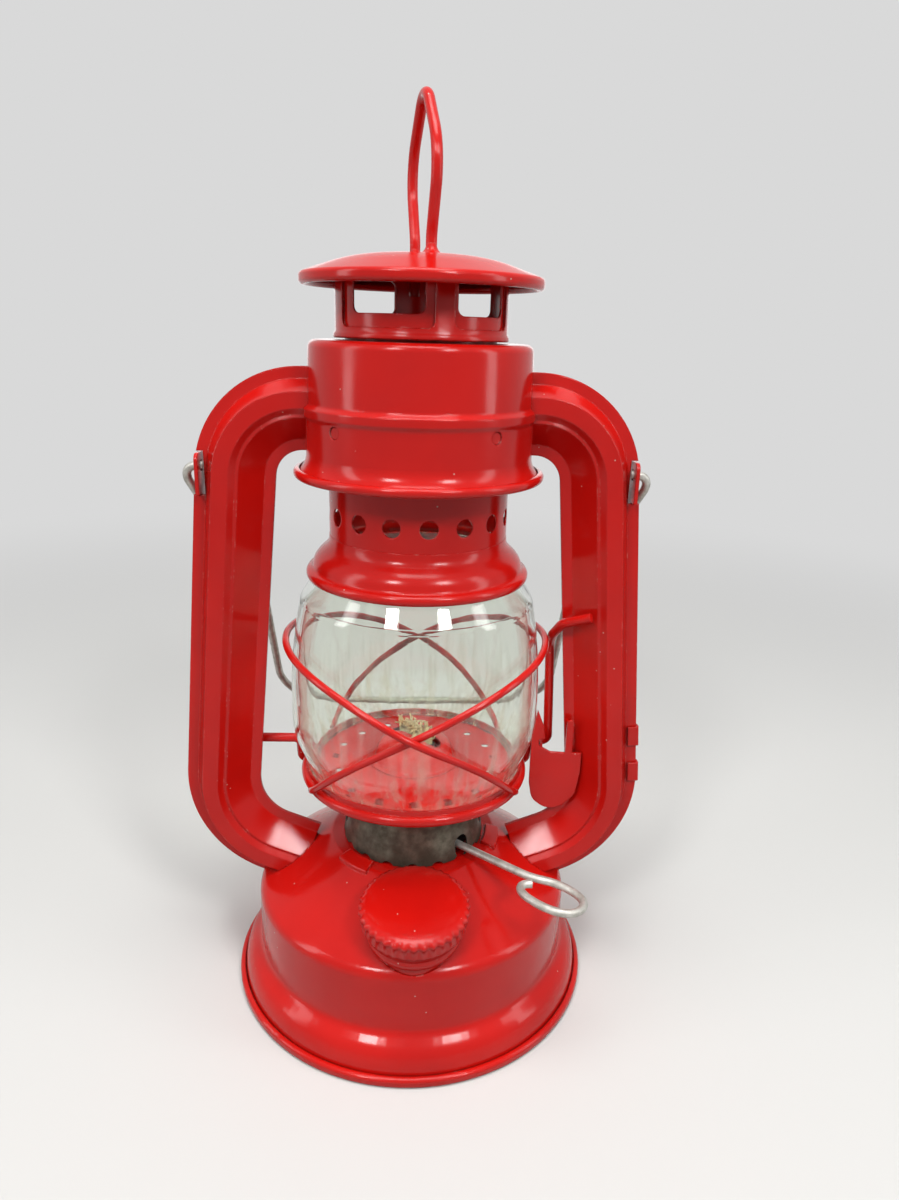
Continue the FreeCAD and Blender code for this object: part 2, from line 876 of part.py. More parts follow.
def make_burner_base():
    plug_r = s.opening_r - s.sheet
    under = s.plateau_z + s.fit
    top = under + s.base_sheet
    body = turned("burner_base", [(0, under), (plug_r - s.base_sheet, under),
                                  (plug_r - s.base_sheet, s.plateau_z - s.opening_lip),
                                  (plug_r, s.plateau_z - s.opening_lip), (plug_r, under),
                                  (s.base_r, under), (s.base_r, top), (0, top)])
    hole = new_sketch(body, "XY_Plane", "tube_hole", up=top)
    slot(hole, 0, s.wick_off, s.wick_tube_wide + s.fit * 2, s.wick_tube_thick + s.fit * 2)
    cut_through(body, hole)
    turn_with_burner(body)
    return body


def make_burner_collar():
    body = new_body("burner_collar")
    profile = new_sketch(body, "XZ_Plane", "profile")
    waist = collar_low + s.collar_waist_up
    sheet_outline(profile, [(s.collar_low_r, collar_low), (s.collar_waist_r, waist, 12.0),
                            (s.collar_waist_r, collar_top)], s.sheet)
    revolve(body, profile)
    window = new_sketch(body, "YZ_Plane", "inlet")
    middle = collar_low + s.slot_up
    slot(window, 0, middle, s.inlet_wide, s.inlet_high)
    cut_through(body, window, both=True)
    shaft_slot = new_sketch(body, "YZ_Plane", "shaft_slot", turn=s.burner_az - 90)
    slot(shaft_slot, -s.shaft_off, shaft_z, s.slot_up, s.slot_wide, upright=True)
    cut_through(body, shaft_slot, flip=True)
    scallop = new_sketch(body, "XZ_Plane", "scallop")
    circle(scallop, 0, collar_low - s.scallop_r / 2, s.scallop_r)
    edge = cut_through(body, scallop, flip=True)
    ring_of(body, edge, profile, s.scallops)
    return body


def make_burner_deck():
    rim = s.collar_waist_r - s.sheet - s.fit
    body = new_body("burner_deck")
    profile = new_sketch(body, "XZ_Plane", "profile")
    sheet_outline(profile, [(0, deck_top), (rim, deck_top, 0.8), (rim, deck_top - s.foot_bead_high)],
                  s.sheet, -1)
    revolve(body, profile)
    hole = new_sketch(body, "XY_Plane", "hole", up=deck_top)
    circle(hole, s.deck_ring_r, 0, s.deck_hole_r)
    vent = cut_through(body, hole)
    ring_of(body, vent, profile, s.deck_holes)
    tube_hole = new_sketch(body, "XY_Plane", "tube_hole", up=deck_top)
    slot(tube_hole, 0, s.wick_off, s.wick_tube_wide + s.fit * 2, s.wick_tube_thick + s.fit * 2)
    through = cut_through(body, tube_hole)
    body.Tip = through
    turn_with_burner(body)
    return body


def make_wick_tube():
    low = s.plateau_z - s.wick_tube_low
    body = new_body("wick_tube")
    section = new_sketch(body, "XY_Plane", "section", up=low)
    slot(section, 0, s.wick_off, s.wick_tube_wide, s.wick_tube_thick)
    slot(section, 0, s.wick_off, s.wick_tube_wide - s.wick_tube_wall * 2,
         s.wick_tube_thick - s.wick_tube_wall * 2)
    pad(body, section, s.wick_tube_top_z - low)
    window = new_sketch(body, "XZ_Plane", "spur_window")
    slot(window, 0, shaft_z, s.spur_pitch * s.spurs - 0.6, s.spur_r * 2 + 0.8)
    cut_through(body, window, length=s.wick_tube_thick / 2 - s.wick_off + 0.3, flip=True)
    turn_with_burner(body)
    return body


def make_wick():
    body = new_body("wick")
    section = new_sketch(body, "XY_Plane", "section", up=s.wick_tail_z)
    slot(section, 0, s.wick_off, s.wick_wide, s.wick_thick)
    pad(body, section, s.wick_top_z - s.wick_tail_z)
    turn_with_burner(body)
    return body


# Adjuster: a bent wire with toothed wheels, drawn along +X and turned with the burner

def make_wick_adjuster():
    z = shaft_z
    back = -s.shaft_off
    far = s.eye_from + s.eye_long + s.shaft_r
    front = back - s.eye_wide
    points = [spot(-s.shaft_back, back, z), spot(far, back, z), spot(far, front, z),
              spot(s.eye_from, front, z), spot(s.eye_from, back - s.shaft_r * 2 - s.seat, z)]
    bend = float(s.eye_wide) / 2 - 0.1
    feature = shaped("wick_adjuster", swept_wire(run_edges(points, [bend, bend, bend * 0.8]), s.shaft_r))
    turn_with_burner(feature)
    return feature


def make_spur_wheels():
    body = new_body("wick_spur_wheels")
    body.AllowCompound = True
    first = -(s.spur_pitch * (s.spurs - 1) + s.spur_thick) / 2
    section = new_sketch(body, "YZ_Plane", "section", up=first)
    teeth = int(float(s.spur_teeth))
    points = []
    for i in range(teeth):
        for turn, radius in ((0.0, s.spur_r), (0.5, s.shaft_r + 0.45)):
            angle = 360.0 * (i + turn) / teeth
            points.append((radius * cosine(angle) - s.shaft_off, radius * sine(angle) + shaft_z))
    outline(section, points)
    circle(section, -s.shaft_off, shaft_z, s.shaft_r)
    wheel = pad(body, section, s.spur_thick)
    row = body.newObject("PartDesign::LinearPattern", "spur_row")
    row.Originals = [wheel]
    row.Direction = (section, ["N_Axis"])
    bind(row, "Length", s.spur_pitch * (s.spurs - 1))
    bind(row, "Occurrences", s.spurs)
    body.Tip = row
    doc.recompute()
    turn_with_burner(body)
    return body


# Globe carriage: plate, burner cone, guards and globe

def make_globe_plate():
    body = new_body("globe_plate")
    profile = new_sketch(body, "XZ_Plane", "profile")
    bead_low = plate_top - s.bead_high
    curl_r = s.plate_r - s.bead_high
    sheet_outline(profile, [(s.plate_hole_r, plate_top), (s.plate_r, plate_top, s.bead_round),
                            (s.plate_r, bead_low, s.bead_round), (curl_r, bead_low, s.bead_round),
                            (curl_r, plate_top - s.bead_high / 2)], s.sheet, -1)
    revolve(body, profile)
    vent = new_sketch(body, "XY_Plane", "vent", up=plate_top)
    circle(vent, s.vent_ring_r, 0, s.vent_r)
    hole = cut_through(body, vent)
    ring_of(body, hole, profile, s.vents)
    seat = new_sketch(body, "XZ_Plane", "seat")
    inner = s.globe_ring_r - s.sheet
    outline(seat, [(inner, plate_top - s.sheet / 2), (s.globe_ring_r, plate_top - s.sheet / 2),
                   (s.globe_ring_r, plate_top + s.globe_ring_high),
                   (inner, plate_top + s.globe_ring_high)])
    revolve(body, seat)
    skirt = new_sketch(body, "XZ_Plane", "skirt")
    low = plate_top - s.plate_skirt_low
    outline(skirt, [(s.plate_skirt_r - s.sheet, low), (s.plate_skirt_r, low),
                    (s.plate_skirt_r, plate_top - s.sheet / 2),
                    (s.plate_skirt_r - s.sheet, plate_top - s.sheet / 2)])
    revolve(body, skirt)
    notch = new_sketch(body, "YZ_Plane", "notch", up=-s.plate_skirt_r - 1)
    notch_from = s.lever_y + s.lever_back - s.lever_wire_r - s.seat * 2
    notch_top = plate_top - s.bead_high + s.sheet
    outline(notch, [(notch_from, low - 1), (notch_from + s.skirt_notch, low - 1),
                    (notch_from + s.skirt_notch, notch_top), (notch_from, notch_top)])
    cut_through(body, notch, length=s.plate_skirt_r * 2 + 2, flip=True)
    return body


def make_burner_cone():
    under = plate_top + s.fit
    body = new_body("burner_cone")
    profile = new_sketch(body, "XZ_Plane", "profile")
    sheet_outline(profile, [(0, under + s.cone_high), (s.cone_dome_r / 3, under + s.cone_high, 6.0),
                            (s.cone_dome_r - 1.6, under + s.cone_high * 0.72, 4.5),
                            (s.cone_dome_r, under + s.sheet, 0.5), (s.cone_r, under + s.sheet)],
                  s.sheet, -1)
    revolve(body, profile)
    flame = new_sketch(body, "XY_Plane", "flame", up=under + s.cone_high)
    slot(flame, 0, s.wick_off, s.flame_long, s.flame_wide)
    cut_through(body, flame, length=s.cone_high - s.sheet * 2)
    turn_with_burner(body)
    return body


def make_globe():
    body = new_body("globe")
    profile = new_sketch(body, "XZ_Plane", "profile")
    sheet_outline(profile, [(s.globe_foot_r, globe_low),
                            (s.globe_foot_r, globe_low + s.globe_foot_high, s.globe_foot_round),
                            (s.globe_belly_r, globe_low + s.globe_low_up, s.globe_low_round),
                            (s.globe_belly_r, globe_low + s.globe_high_up, s.globe_high_round),
                            (s.globe_shoulder_r, globe_low + s.globe_shoulder_up,
                             s.globe_shoulder_round),
                            (s.globe_neck_r, globe_low + s.globe_neck_up, s.globe_neck_round),
                            (s.globe_neck_r, globe_top)], s.glass)
    revolve(body, profile)
    doc.recompute()
    return body


def guard_point(az, side, step):
    """A point of the guard that is high at the left (side -1) or right (side 1)."""
    across = math.sin(math.radians(az))
    radius = float(s.guard_r) + float(s.guard_side_r - s.guard_r) * across ** 2
    for crossing in (0.0, -180.0):
        radius += step * math.exp(-((az - crossing) / float(s.guard_step_az)) ** 2)
    level = float(plate_top + s.guard_mid_up)
    level -= float(s.guard_rise) * across + float(s.guard_sag) * across ** 2
    past = (max(az, -180.0 - az, 0.0) / float(s.guard_weld_az)) ** 4
    radius += (float(s.guard_weld_r) - radius) * past
    level += (float(plate_top + s.guard_weld_up) - level) * past
    return Vector(-side * radius * across, -radius * math.cos(math.radians(az)), level)


def make_guard(label, side, step):
    first = float(s.guard_weld_az)
    last = -180.0 - first
    stations = 16
    points = []
    tangents = []
    for i in range(stations + 1):
        az = first + (last - first) * i / stations
        points.append(guard_point(az, side, step))
        ahead = guard_point(az - 0.01, side, step) - guard_point(az + 0.01, side, step)
        tangents.append(ahead.normalize())
    return shaped(label, swept_wire(biarc_edges(points, tangents), s.guard_wire_r))


# Chimney: bell, neck, inner tube, hood and lift ring

def make_globe_bell():
    shoulder = globe_top + s.bell_shoulder_up
    bead_low = globe_top - s.bell_drop
    bead_top = bead_low + s.bell_bead
    collar_r = s.neck_pipe_r - s.sheet - s.fit
    return turned("globe_bell", [(collar_r, shoulder + s.neck_lap), (collar_r, shoulder, 0.5),
                                 (s.bell_top_r, globe_top + s.bell_top_up, s.bell_round),
                                 (s.bell_throat_r, globe_top - s.bell_throat_drop, 1.0),
                                 (s.bell_r, bead_top, s.bell_bead_round),
                                 (s.bell_r, bead_low, s.bell_bead_round),
                                 (s.bell_curl_r, bead_low, s.bell_curl_round),
                                 (s.bell_curl_r, bead_low + s.bell_bead * 0.6)], s.sheet, -1)


def make_chimney_neck():
    body = new_body("chimney_neck")
    profile = new_sketch(body, "XZ_Plane", "profile")
    sheet_outline(profile, [(s.neck_pipe_r, neck_pipe_low), (s.neck_pipe_r, neck_pipe_top, 1.0),
                            (s.chimney_r + s.fit, neck_pipe_top)], s.sheet)
    revolve(body, profile)
    hole = new_sketch(body, "XZ_Plane", "draught", turn=s.draught_turn)
    circle(hole, 0, neck_pipe_low + s.draught_up, s.draught_hole_r)
    draught = cut_through(body, hole, flip=True)
    ring_of(body, draught, profile, s.draught_holes)
    return body


def make_chimney_tube():
    low = neck_pipe_top - s.chimney_low
    top = skirt_low + s.sheet + s.fit
    return turned("chimney_tube", [(s.chimney_r, low), (s.chimney_r, top)], s.sheet)


def make_hood_skirt():
    body = new_body("hood_skirt")
    profile = new_sketch(body, "XZ_Plane", "profile")
    sheet_outline(profile, [(s.chimney_r + s.fit, skirt_low), (s.skirt_bead_r, skirt_low, 0.4),
                            (s.skirt_bead_r, skirt_low + s.skirt_bead_high),
                            (s.skirt_r, skirt_low + s.skirt_bead_high + 0.4),
                            (s.skirt_r, skirt_low + s.skirt_high)], s.sheet)
    revolve(body, profile)
    windows = (("front_left", s.window_left_az, s.window_wide),
               ("front_right", s.window_right_az, s.window_narrow),
               ("back_right", 180 - s.window_right_az, s.window_narrow),
               ("back_left", s.window_back_az, s.window_wide))
    for name, az, wide in windows:
        window = new_sketch(body, "XZ_Plane", name, turn=az)
        low = skirt_low + s.window_low
        half = as_size(wide) / 2
        top = low + s.window_high
        outline(window, [(-half, low, s.window_round), (half, low, s.window_round),
                         (half, top, s.window_round), (-half, top, s.window_round)])
        cut_through(body, window, flip=True)
    return body


def make_hood_cap():
    rim_top = hood_top - s.hood_drop
    bead_low = rim_top - s.hood_bead_high
    curl_r = s.hood_r - s.hood_bead_wide
    body = new_body("hood_cap")
    profile = new_sketch(body, "XZ_Plane", "profile")
    sheet_outline(profile, [(0, hood_top),
                            (s.hood_dome_r, hood_top, s.hood_dome_round),
                            (s.hood_r, rim_top, s.hood_bead_round),
                            (s.hood_r, bead_low, s.hood_bead_round),
                            (curl_r, bead_low, s.hood_bead_round),
                            (curl_r, bead_low + s.hood_bead_high * 0.55)], s.sheet, -1)
    revolve(body, profile)
    holes = new_sketch(body, "XY_Plane", "ring_holes", up=hood_top)
    for side in (1, -1):
        x = side * s.ring_leg_half * sine(s.ring_turn)
        y = -side * s.ring_leg_half * cosine(s.ring_turn)
        circle(holes, x, y, s.ring_wire_r + s.fit)
    cut_through(body, holes)
    return body


def make_lift_ring():
    leg = s.ring_leg_half
    wide = s.ring_half_wide
    heights = [(leg, hood_top - s.ring_leg_down), (leg, hood_top + s.ring_waist_up),
               (wide, hood_top + s.ring_wide_up), (0, hood_top + s.ring_tip_up),
               (-wide, hood_top + s.ring_wide_up), (-leg, hood_top + s.ring_waist_up),
               (-leg, hood_top - s.ring_leg_down)]
    points = []
    for across, z in heights:
        across = as_size(across)
        points.append(spot(across * sine(s.ring_turn), -across * cosine(s.ring_turn), z))
    edges = run_edges(points, [8, 14, s.ring_tip_bend, 14, 8])
    return shaped("lift_ring", swept_wire(edges, s.ring_wire_r))


# Drum and its spring

def tube_section(side, grow=0.0):
    """Outer corners (y, z) of half a side tube at the drum, side -1 in front and 1 at the back."""
    low = tube_top - s.tube_wide / 2
    flat = s.tube_seam + s.sheet
    corners = [(flat, 0.0), (flat, s.tube_flange), (s.tube_slope_deep, s.tube_slope_end),
               (s.tube_slope_deep - s.tube_groove_deep, s.tube_slope_end + s.tube_groove),
               (s.tube_deep, s.tube_crest_from), (s.tube_deep, s.tube_crest_to),
               (flat, s.tube_wide - s.tube_outer_flange), (flat, s.tube_wide)]
    return [(side * (deep + grow), low + along) for deep, along in corners]


def make_drum_shell():
    bead_z = drum_low + s.drum_bead_up
    half = s.drum_bead_high / 2
    body = new_body("drum_shell")
    profile = new_sketch(body, "XZ_Plane", "profile")
    sheet_outline(profile, [(s.chimney_r + s.sheet + s.fit * 2, drum_top),
                            (s.drum_high_r, drum_top, s.drum_round),
                            (s.drum_low_r - s.sheet, bead_z + half + 1, 0.8),
                            (s.drum_bead_r, bead_z + half, 0.4), (s.drum_bead_r, bead_z - half, 0.4),
                            (s.drum_low_r, bead_z - half - 1, 0.8),
                            (s.drum_low_r, drum_low + s.drum_sweep_up, s.drum_sweep_round),
                            (s.drum_sweep_end_r, drum_low + s.drum_sweep_end_up)],
                  s.sheet, -1)
    revolve(body, profile)
    mouth = new_sketch(body, "YZ_Plane", "tube_mouth")
    front = tube_section(-1, s.fit)
    back = tube_section(1, s.fit)
    outline(mouth, front + back[::-1])
    cut_through(body, mouth, both=True)
    for name, az in (("left", s.dimple_left_az), ("right", s.dimple_right_az)):
        dimple = new_sketch(body, "XZ_Plane", "dimple_" + name, s.drum_low_r - s.dimple_deep, az)
        circle(dimple, 0, drum_low + s.dimple_up, s.dimple_r)
        cut_through(body, dimple, flip=True)
    return body


def make_drum_floor():
    return turned("drum_floor", [(s.neck_pipe_r + s.sheet, drum_low),
                                 (s.drum_flare_r, drum_low, s.drum_flare_round),
                                 (s.drum_flare_r, drum_low + s.drum_flare_high, s.drum_flare_round),
                                 (s.drum_flare_r - s.hem_lap, drum_low + s.drum_flare_high)], s.sheet)


def make_chimney_spring():
    wire = float(s.spring_wire_r)
    low = float(neck_pipe_top) + wire + float(s.fit)
    top = float(drum_top - s.sheet) - wire - float(s.fit)
    radius = float(s.spring_r)
    turns = float(s.spring_turns)
    stations = int(turns * 4)
    rise = (top - low) / turns

    def coil(turn):
        angle = 2 * math.pi * turn
        return Vector(radius * math.cos(angle), radius * math.sin(angle), low + rise * turn)

    def heading(turn):
        angle = 2 * math.pi * turn
        around = 2 * math.pi * radius
        return Vector(-around * math.sin(angle), around * math.cos(angle), rise).normalize()

    stops = [turns * i / stations for i in range(stations + 1)]
    edges = biarc_edges([coil(stop) for stop in stops], [heading(stop) for stop in stops])
    print("chimney spring least gap between curls %.2f mm" % (rise - 2 * wire))
    return shaped("chimney_spring", swept_wire(edges, wire))


# Side tubes: two half shells each, seamed on the plane of symmetry

def tube_middle_x(z):
    lean = sine(s.tube_lean) / cosine(s.tube_lean)
    return s.tube_top_x + (tube_top - z) * lean


def make_tube_half(label, hand, side):
    """hand 1 is the right tube and -1 the left; side -1 is the front half and 1 the back half."""
    body = new_body(label)
    path = new_sketch(body, "XZ_Plane", "path")
    corner_x = tube_middle_x(s.tube_corner_z)
    droop = sine(s.tube_droop) / cosine(s.tube_droop)
    end_z = s.tube_corner_z - (corner_x - s.tube_end_x) * droop
    outline(path, [(hand * s.tube_start_x, tube_top), (hand * s.tube_top_x, tube_top, s.tube_top_bend),
                   (hand * corner_x, s.tube_corner_z, s.tube_low_bend),
                   (hand * s.tube_end_x, end_z)], closed=False)
    section = new_sketch(body, "YZ_Plane", "section", up=hand * s.tube_start_x)
    sheet_outline(section, tube_section(side), s.sheet, side)
    shell = body.newObject("PartDesign::AdditivePipe", label + "_shell")
    shell.Profile = section
    shell.Spine = (path, ["Edge%d" % (i + 1) for i in range(5)])
    shell.Transition = "Right corner"
    doc.recompute()
    pocket = new_sketch(body, "XZ_Plane", "ear_pocket")
    inner = hand * (s.tube_top_x + s.tube_wide / 2 - s.tube_outer_flange + s.pocket_wall)
    outer = hand * (bail_side_x() + s.tube_flange)
    low = pivot_z - s.pocket_high * 2 / 3
    outline(pocket, [(inner, low), (outer, low), (outer, low + s.pocket_high),
                     (inner, low + s.pocket_high)])
    cut_through(body, pocket, both=True)
    if label.startswith("left_tube_back"):
        hole = new_sketch(body, "YZ_Plane", "lever_hole", up=s.lever_hole_deep - s.lever_end_x - 0.7)
        circle(hole, s.lever_y, lever_z, s.lever_wire_r + s.seat)
        cut_through(body, hole, length=s.lever_hole_deep)
    return body


def bail_side_x():
    return tube_middle_x(pivot_z) + s.tube_wide / 2 + s.bail_side_out


def make_side_tubes():
    """Trim the tubes where they stand on the tank's shoulder; the back halves carry the bail's ears."""
    solid = doc.getObject("fount_solid")
    made = []
    for name, hand in (("left", -1), ("right", 1)):
        for half, side in (("front", -1), ("back", 1)):
            label = "%s_tube_%s" % (name, half)
            blank = make_tube_half(label + "_blank", hand, side)
            if half == "back":
                blank = fuse(label + "_eared", [blank, make_ear(name, hand)])
            made.append(cut(label, blank, solid))
    return made


def make_ear(name, hand):
    body = new_body("bail_ear_" + name)
    outer = tube_middle_x(pivot_z) + s.tube_wide / 2 - s.ear_inset + s.ear_thick
    plane = outer - s.ear_thick if hand > 0 else -outer
    face = new_sketch(body, "YZ_Plane", "face", up=plane)
    half = s.ear_wide / 2
    low = pivot_z - s.pocket_high * 2 / 3
    foot = low - s.ear_foot
    free = low + s.seat
    outline(face, [(s.tube_seam, foot), (half, foot), (half, low + s.ear_high, s.ear_round),
                   (-half, low + s.ear_high, s.ear_round), (-half, free), (s.tube_seam, free)])
    circle(face, 0, pivot_z, s.ear_hole_r)
    pad(body, face, s.ear_thick)
    return body


# Bail, drawn in its own plane: x across and arm along it from the pivot, hanging behind at rest

def bail_point(x, arm):
    arm = as_size(arm)
    return spot(x, arm * sine(s.bail_rest), pivot_z - arm * cosine(s.bail_rest))


def make_bail():
    side = bail_side_x()
    half = [(side - s.bail_hook_in, 0.0), (side, 0.0), (side, s.bail_hook_long),
            (s.bail_waist_x, s.bail_waist), (s.bail_corner_x, s.bail_arm)]
    points = [bail_point(x, arm) for x, arm in half]
    points += [bail_point(-x, arm) for x, arm in reversed(half)]
    bends = [s.bail_hook_bend, 5, s.bail_waist_bend, s.bail_corner_bend]
    edges = run_edges(points, bends + bends[::-1])
    return shaped("bail", swept_wire(edges, s.bail_wire_r))


# Lift lever: one wire from the left tube under the plate to the finger handle at the right

def make_lift_lever():
    low = lever_z - s.lever_up
    back = s.lever_y + s.lever_back
    top = lever_z + s.lever_top_up
    points = [spot(-s.lever_end_x, s.lever_y, lever_z), spot(-s.lever_arm_x, s.lever_y, lever_z),
              spot(-s.lever_arm_x, back, low), spot(s.lever_arm_x, back, low),
              spot(s.lever_arm_x, s.lever_y, lever_z), spot(s.lever_rod_x, s.lever_y, lever_z),
              spot(s.lever_top_x, s.lever_y, top),
              spot(s.lever_top_x - 0.2, s.lever_y - 4.6, top + 4.5),
              spot(s.lever_top_x + 1.5, s.lever_y - 9.3, top + 9.5),
              spot(s.lever_top_x + s.handle_long, s.lever_y - 13.0, top + 12.6)]
    bend = s.lever_bend
    edges = run_edges(points, [bend, bend, bend, bend, bend, 5, 4, 4])
    return shaped("lift_lever", swept_wire(edges, s.lever_wire_r))


def make_lifter_bracket():
    left = s.hook_left_x
    z = lever_z
    lip = z + s.hook_lip_up
    neck = left + s.hook_neck_wide
    notch = z + 0.1
    tab = left + s.hook_tab_x
    body = new_body("lifter_bracket")
    plate = new_sketch(body, "XZ_Plane", "plate", up=-s.hook_y)
    outline(plate, [(left, z - 10, 8.0), (left + 1, z - 15.5, 5.0), (left + 7.8, z - s.hook_low, 6.0),
                    (left + 14.4, z - 14, 4.0), (left + s.hook_wide, z - 6),
                    (left + s.hook_wide, notch), (tab + s.hook_tab_wide, notch),
                    (tab + s.hook_tab_wide, z + s.hook_tab_high, 0.9), (tab, z + s.hook_tab_high, 0.9),
                    (tab, notch), (left + 6, notch + 0.3), (neck, notch + 2.4, 1.8), (neck, lip - 0.2),
                    (left + 4.1, lip, 0.4), (left + 3.5, lip + 4.3, 3.0), (left + 1.5, z + s.hook_top_up),
                    (left, lip + 0.6)])
    pad(body, plate, s.hook_sheet)
    ear = new_sketch(body, "YZ_Plane", "ear", up=left + s.hook_ear_x)
    rear = s.lever_y + s.hook_ear_r
    outline(ear, [(s.hook_y - s.hook_sheet / 2, z - 8), (rear, z - 6, 2.5), (rear, z + s.hook_ear_r, 2.5),
                  (s.hook_y - s.hook_sheet / 2, z + s.hook_ear_r)])
    circle(ear, s.lever_y, z, s.lever_wire_r + s.fit * 2)
    pad(body, ear, s.hook_sheet * 0.8)
    return body


def make_tube_clips():
    flat = s.tube_seam + s.sheet + s.fit
    body = new_body("tube_clips")
    body.AllowCompound = True
    wrap = new_sketch(body, "XY_Plane", "wrap")
    outer = s.fit + s.clip_sheet
    outline(wrap, [(-s.clip_long, -flat - s.clip_sheet), (outer, -flat - s.clip_sheet, 0.5),
                   (outer, flat + s.clip_sheet, 0.5), (-s.clip_long, flat + s.clip_sheet),
                   (-s.clip_long, flat), (s.fit, flat), (s.fit, -flat), (-s.clip_long, -flat)])
    band = pad(body, wrap, s.clip_high)
    row = body.newObject("PartDesign::LinearPattern", "clip_row")
    row.Originals = [band]
    row.Direction = (wrap, ["N_Axis"])
    bind(row, "Length", s.clip_pitch)
    row.Occurrences = 2
    body.Tip = row
    doc.recompute()
    edge = tube_middle_x(s.clip_low_z) + s.tube_wide / 2 / cosine(s.tube_lean)
    place(body, edge, 0, s.clip_low_z, Vector(0, 1, 0), -s.tube_lean)
    return body


pieces = [make_fount_shell(), make_fount_bottom(), make_filler_neck(), make_cap(), make_gasket(),
          make_burner_base(), make_burner_collar(), make_burner_deck(), make_wick_tube(), make_wick(),
          make_wick_adjuster(), make_spur_wheels(), make_globe_plate(), make_burner_cone(), make_globe(),
          make_guard("globe_guard_left", -1, float(s.guard_step)), make_guard("globe_guard_right", 1, 0.0),
          make_globe_bell(), make_chimney_neck(), make_chimney_tube(), make_hood_skirt(),
          make_hood_cap(), make_lift_ring(), make_drum_shell(), make_drum_floor(),
          make_chimney_spring(), make_bail(), make_lift_lever(), make_lifter_bracket(),
          make_tube_clips()]
pieces += make_side_tubes()
doc.recompute()

for item in doc.Objects:
    if "Invalid" in item.State or "Error" in item.State:
        raise ValueError("%s did not build: %s" % (item.Label, item.State))
for piece in pieces:
    if piece.Shape.isNull() or not piece.Shape.isValid() or not piece.Shape.Solids:
        raise ValueError("%s has no valid solid" % piece.Label)

os.makedirs("parts", exist_ok=True)
for piece in pieces:
    piece.Shape.exportStep("parts/%s.step" % piece.Label)
    print("%-20s %9.1f mm3 %d" % (piece.Label, piece.Shape.Volume, len(piece.Shape.Solids)))
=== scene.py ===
# %% [markdown]
# # A hurricane lantern, dressed for its picture
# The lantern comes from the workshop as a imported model: every sheet-metal pressing, wire and glass is already in
# its place and at its real size. What is left for Blender is what the eye sees last: enamel baked over tinplate,
# zinc gone brown, a blown globe with oil dried on its foot, and a wick that has frayed. Most pressings stay as they
# are and only get their finishes. New pieces are made where the real thing is too fine or too soft for a solid
# model.

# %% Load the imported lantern
import json
import math
import random

import bpy
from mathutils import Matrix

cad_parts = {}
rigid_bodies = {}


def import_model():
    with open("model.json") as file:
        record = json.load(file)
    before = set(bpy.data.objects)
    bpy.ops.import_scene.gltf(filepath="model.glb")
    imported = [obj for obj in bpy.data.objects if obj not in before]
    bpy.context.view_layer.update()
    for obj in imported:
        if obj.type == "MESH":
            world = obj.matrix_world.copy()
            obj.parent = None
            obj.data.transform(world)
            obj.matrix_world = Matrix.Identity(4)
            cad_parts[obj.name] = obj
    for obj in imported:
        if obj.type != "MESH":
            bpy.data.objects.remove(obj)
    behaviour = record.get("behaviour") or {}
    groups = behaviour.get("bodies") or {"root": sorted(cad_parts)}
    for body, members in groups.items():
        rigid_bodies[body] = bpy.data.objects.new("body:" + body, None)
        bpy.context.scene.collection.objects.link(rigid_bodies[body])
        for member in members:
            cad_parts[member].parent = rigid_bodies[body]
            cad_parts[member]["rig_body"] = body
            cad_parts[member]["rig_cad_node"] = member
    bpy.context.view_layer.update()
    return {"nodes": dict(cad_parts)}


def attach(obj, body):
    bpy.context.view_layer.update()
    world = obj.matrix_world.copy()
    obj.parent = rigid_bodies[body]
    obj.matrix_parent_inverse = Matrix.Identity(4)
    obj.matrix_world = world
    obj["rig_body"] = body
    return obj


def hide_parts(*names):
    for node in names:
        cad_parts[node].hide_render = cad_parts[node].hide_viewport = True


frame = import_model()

# %% [markdown]
# ## The camera
# The picture was taken from close by, a little above the burner and looking down, so the tank's foot shows as a
# wide ellipse and the hood almost edge on. A lens of about 25 mm at an arm's length gives that strong
# perspective. A longer lens from further off would flatten the foot.

# %% Place the camera
LENS = 24.96
CAMERA_PLACE = (0.0, -0.2284, 0.1957)
CAMERA_TURN = (72.0508, -1.6011, -1.8324)

bpy.ops.object.camera_add(location=CAMERA_PLACE, rotation=[math.radians(a) for a in CAMERA_TURN])
camera = bpy.context.object
camera.data.lens = LENS
camera.data.clip_start = 0.01
bpy.context.scene.camera = camera
bpy.context.scene.view_settings.view_transform = "Standard"
print("camera", camera.data.lens, "mm lens,", round(-CAMERA_PLACE[1] * 1000), "mm from the lantern's axis")

# %% [markdown]
# ## Two small helpers for operators
# An operator acts on everything that is selected, and the import leaves the whole lantern selected. So each
# step starts from nothing selected. A finished piece has its place in its own mesh, which is what the second
# helper does, together with the name and the smooth shading.

# %% Helpers for operators
def deselect():
    """Nothing selected, so that an operator acts only on what comes next."""
    if bpy.context.object and bpy.context.object.mode != "OBJECT":
        bpy.ops.object.mode_set(mode="OBJECT")
    bpy.ops.object.select_all(action="DESELECT")


def finish_piece(piece, name, angle=40):
    """Names a piece, puts its place into its mesh and shades it smooth up to an angle in degrees."""
    deselect()
    piece.select_set(True)
    bpy.context.view_layer.objects.active = piece
    piece.name = name
    bpy.ops.object.transform_apply(location=True, rotation=True, scale=True)
    bpy.ops.object.shade_smooth_by_angle(angle=math.radians(angle))
    return piece


# %% [markdown]
# ## Turning a profile
# Most of a lantern is spun or pressed round one axis. By hand, one point is pushed out corner by corner into half
# a section, and Spin carries that line round the axis. It meets its own start there, so the doubled points are
# merged and the normals made to agree. A wall is given afterwards by Solidify, which pushes the sheet inwards by
# the thickness of the tinplate. The corners are in millimetres, as on the drawing of such a pressing.

# %% Turn a profile
MM = 0.001
TINPLATE = 0.5


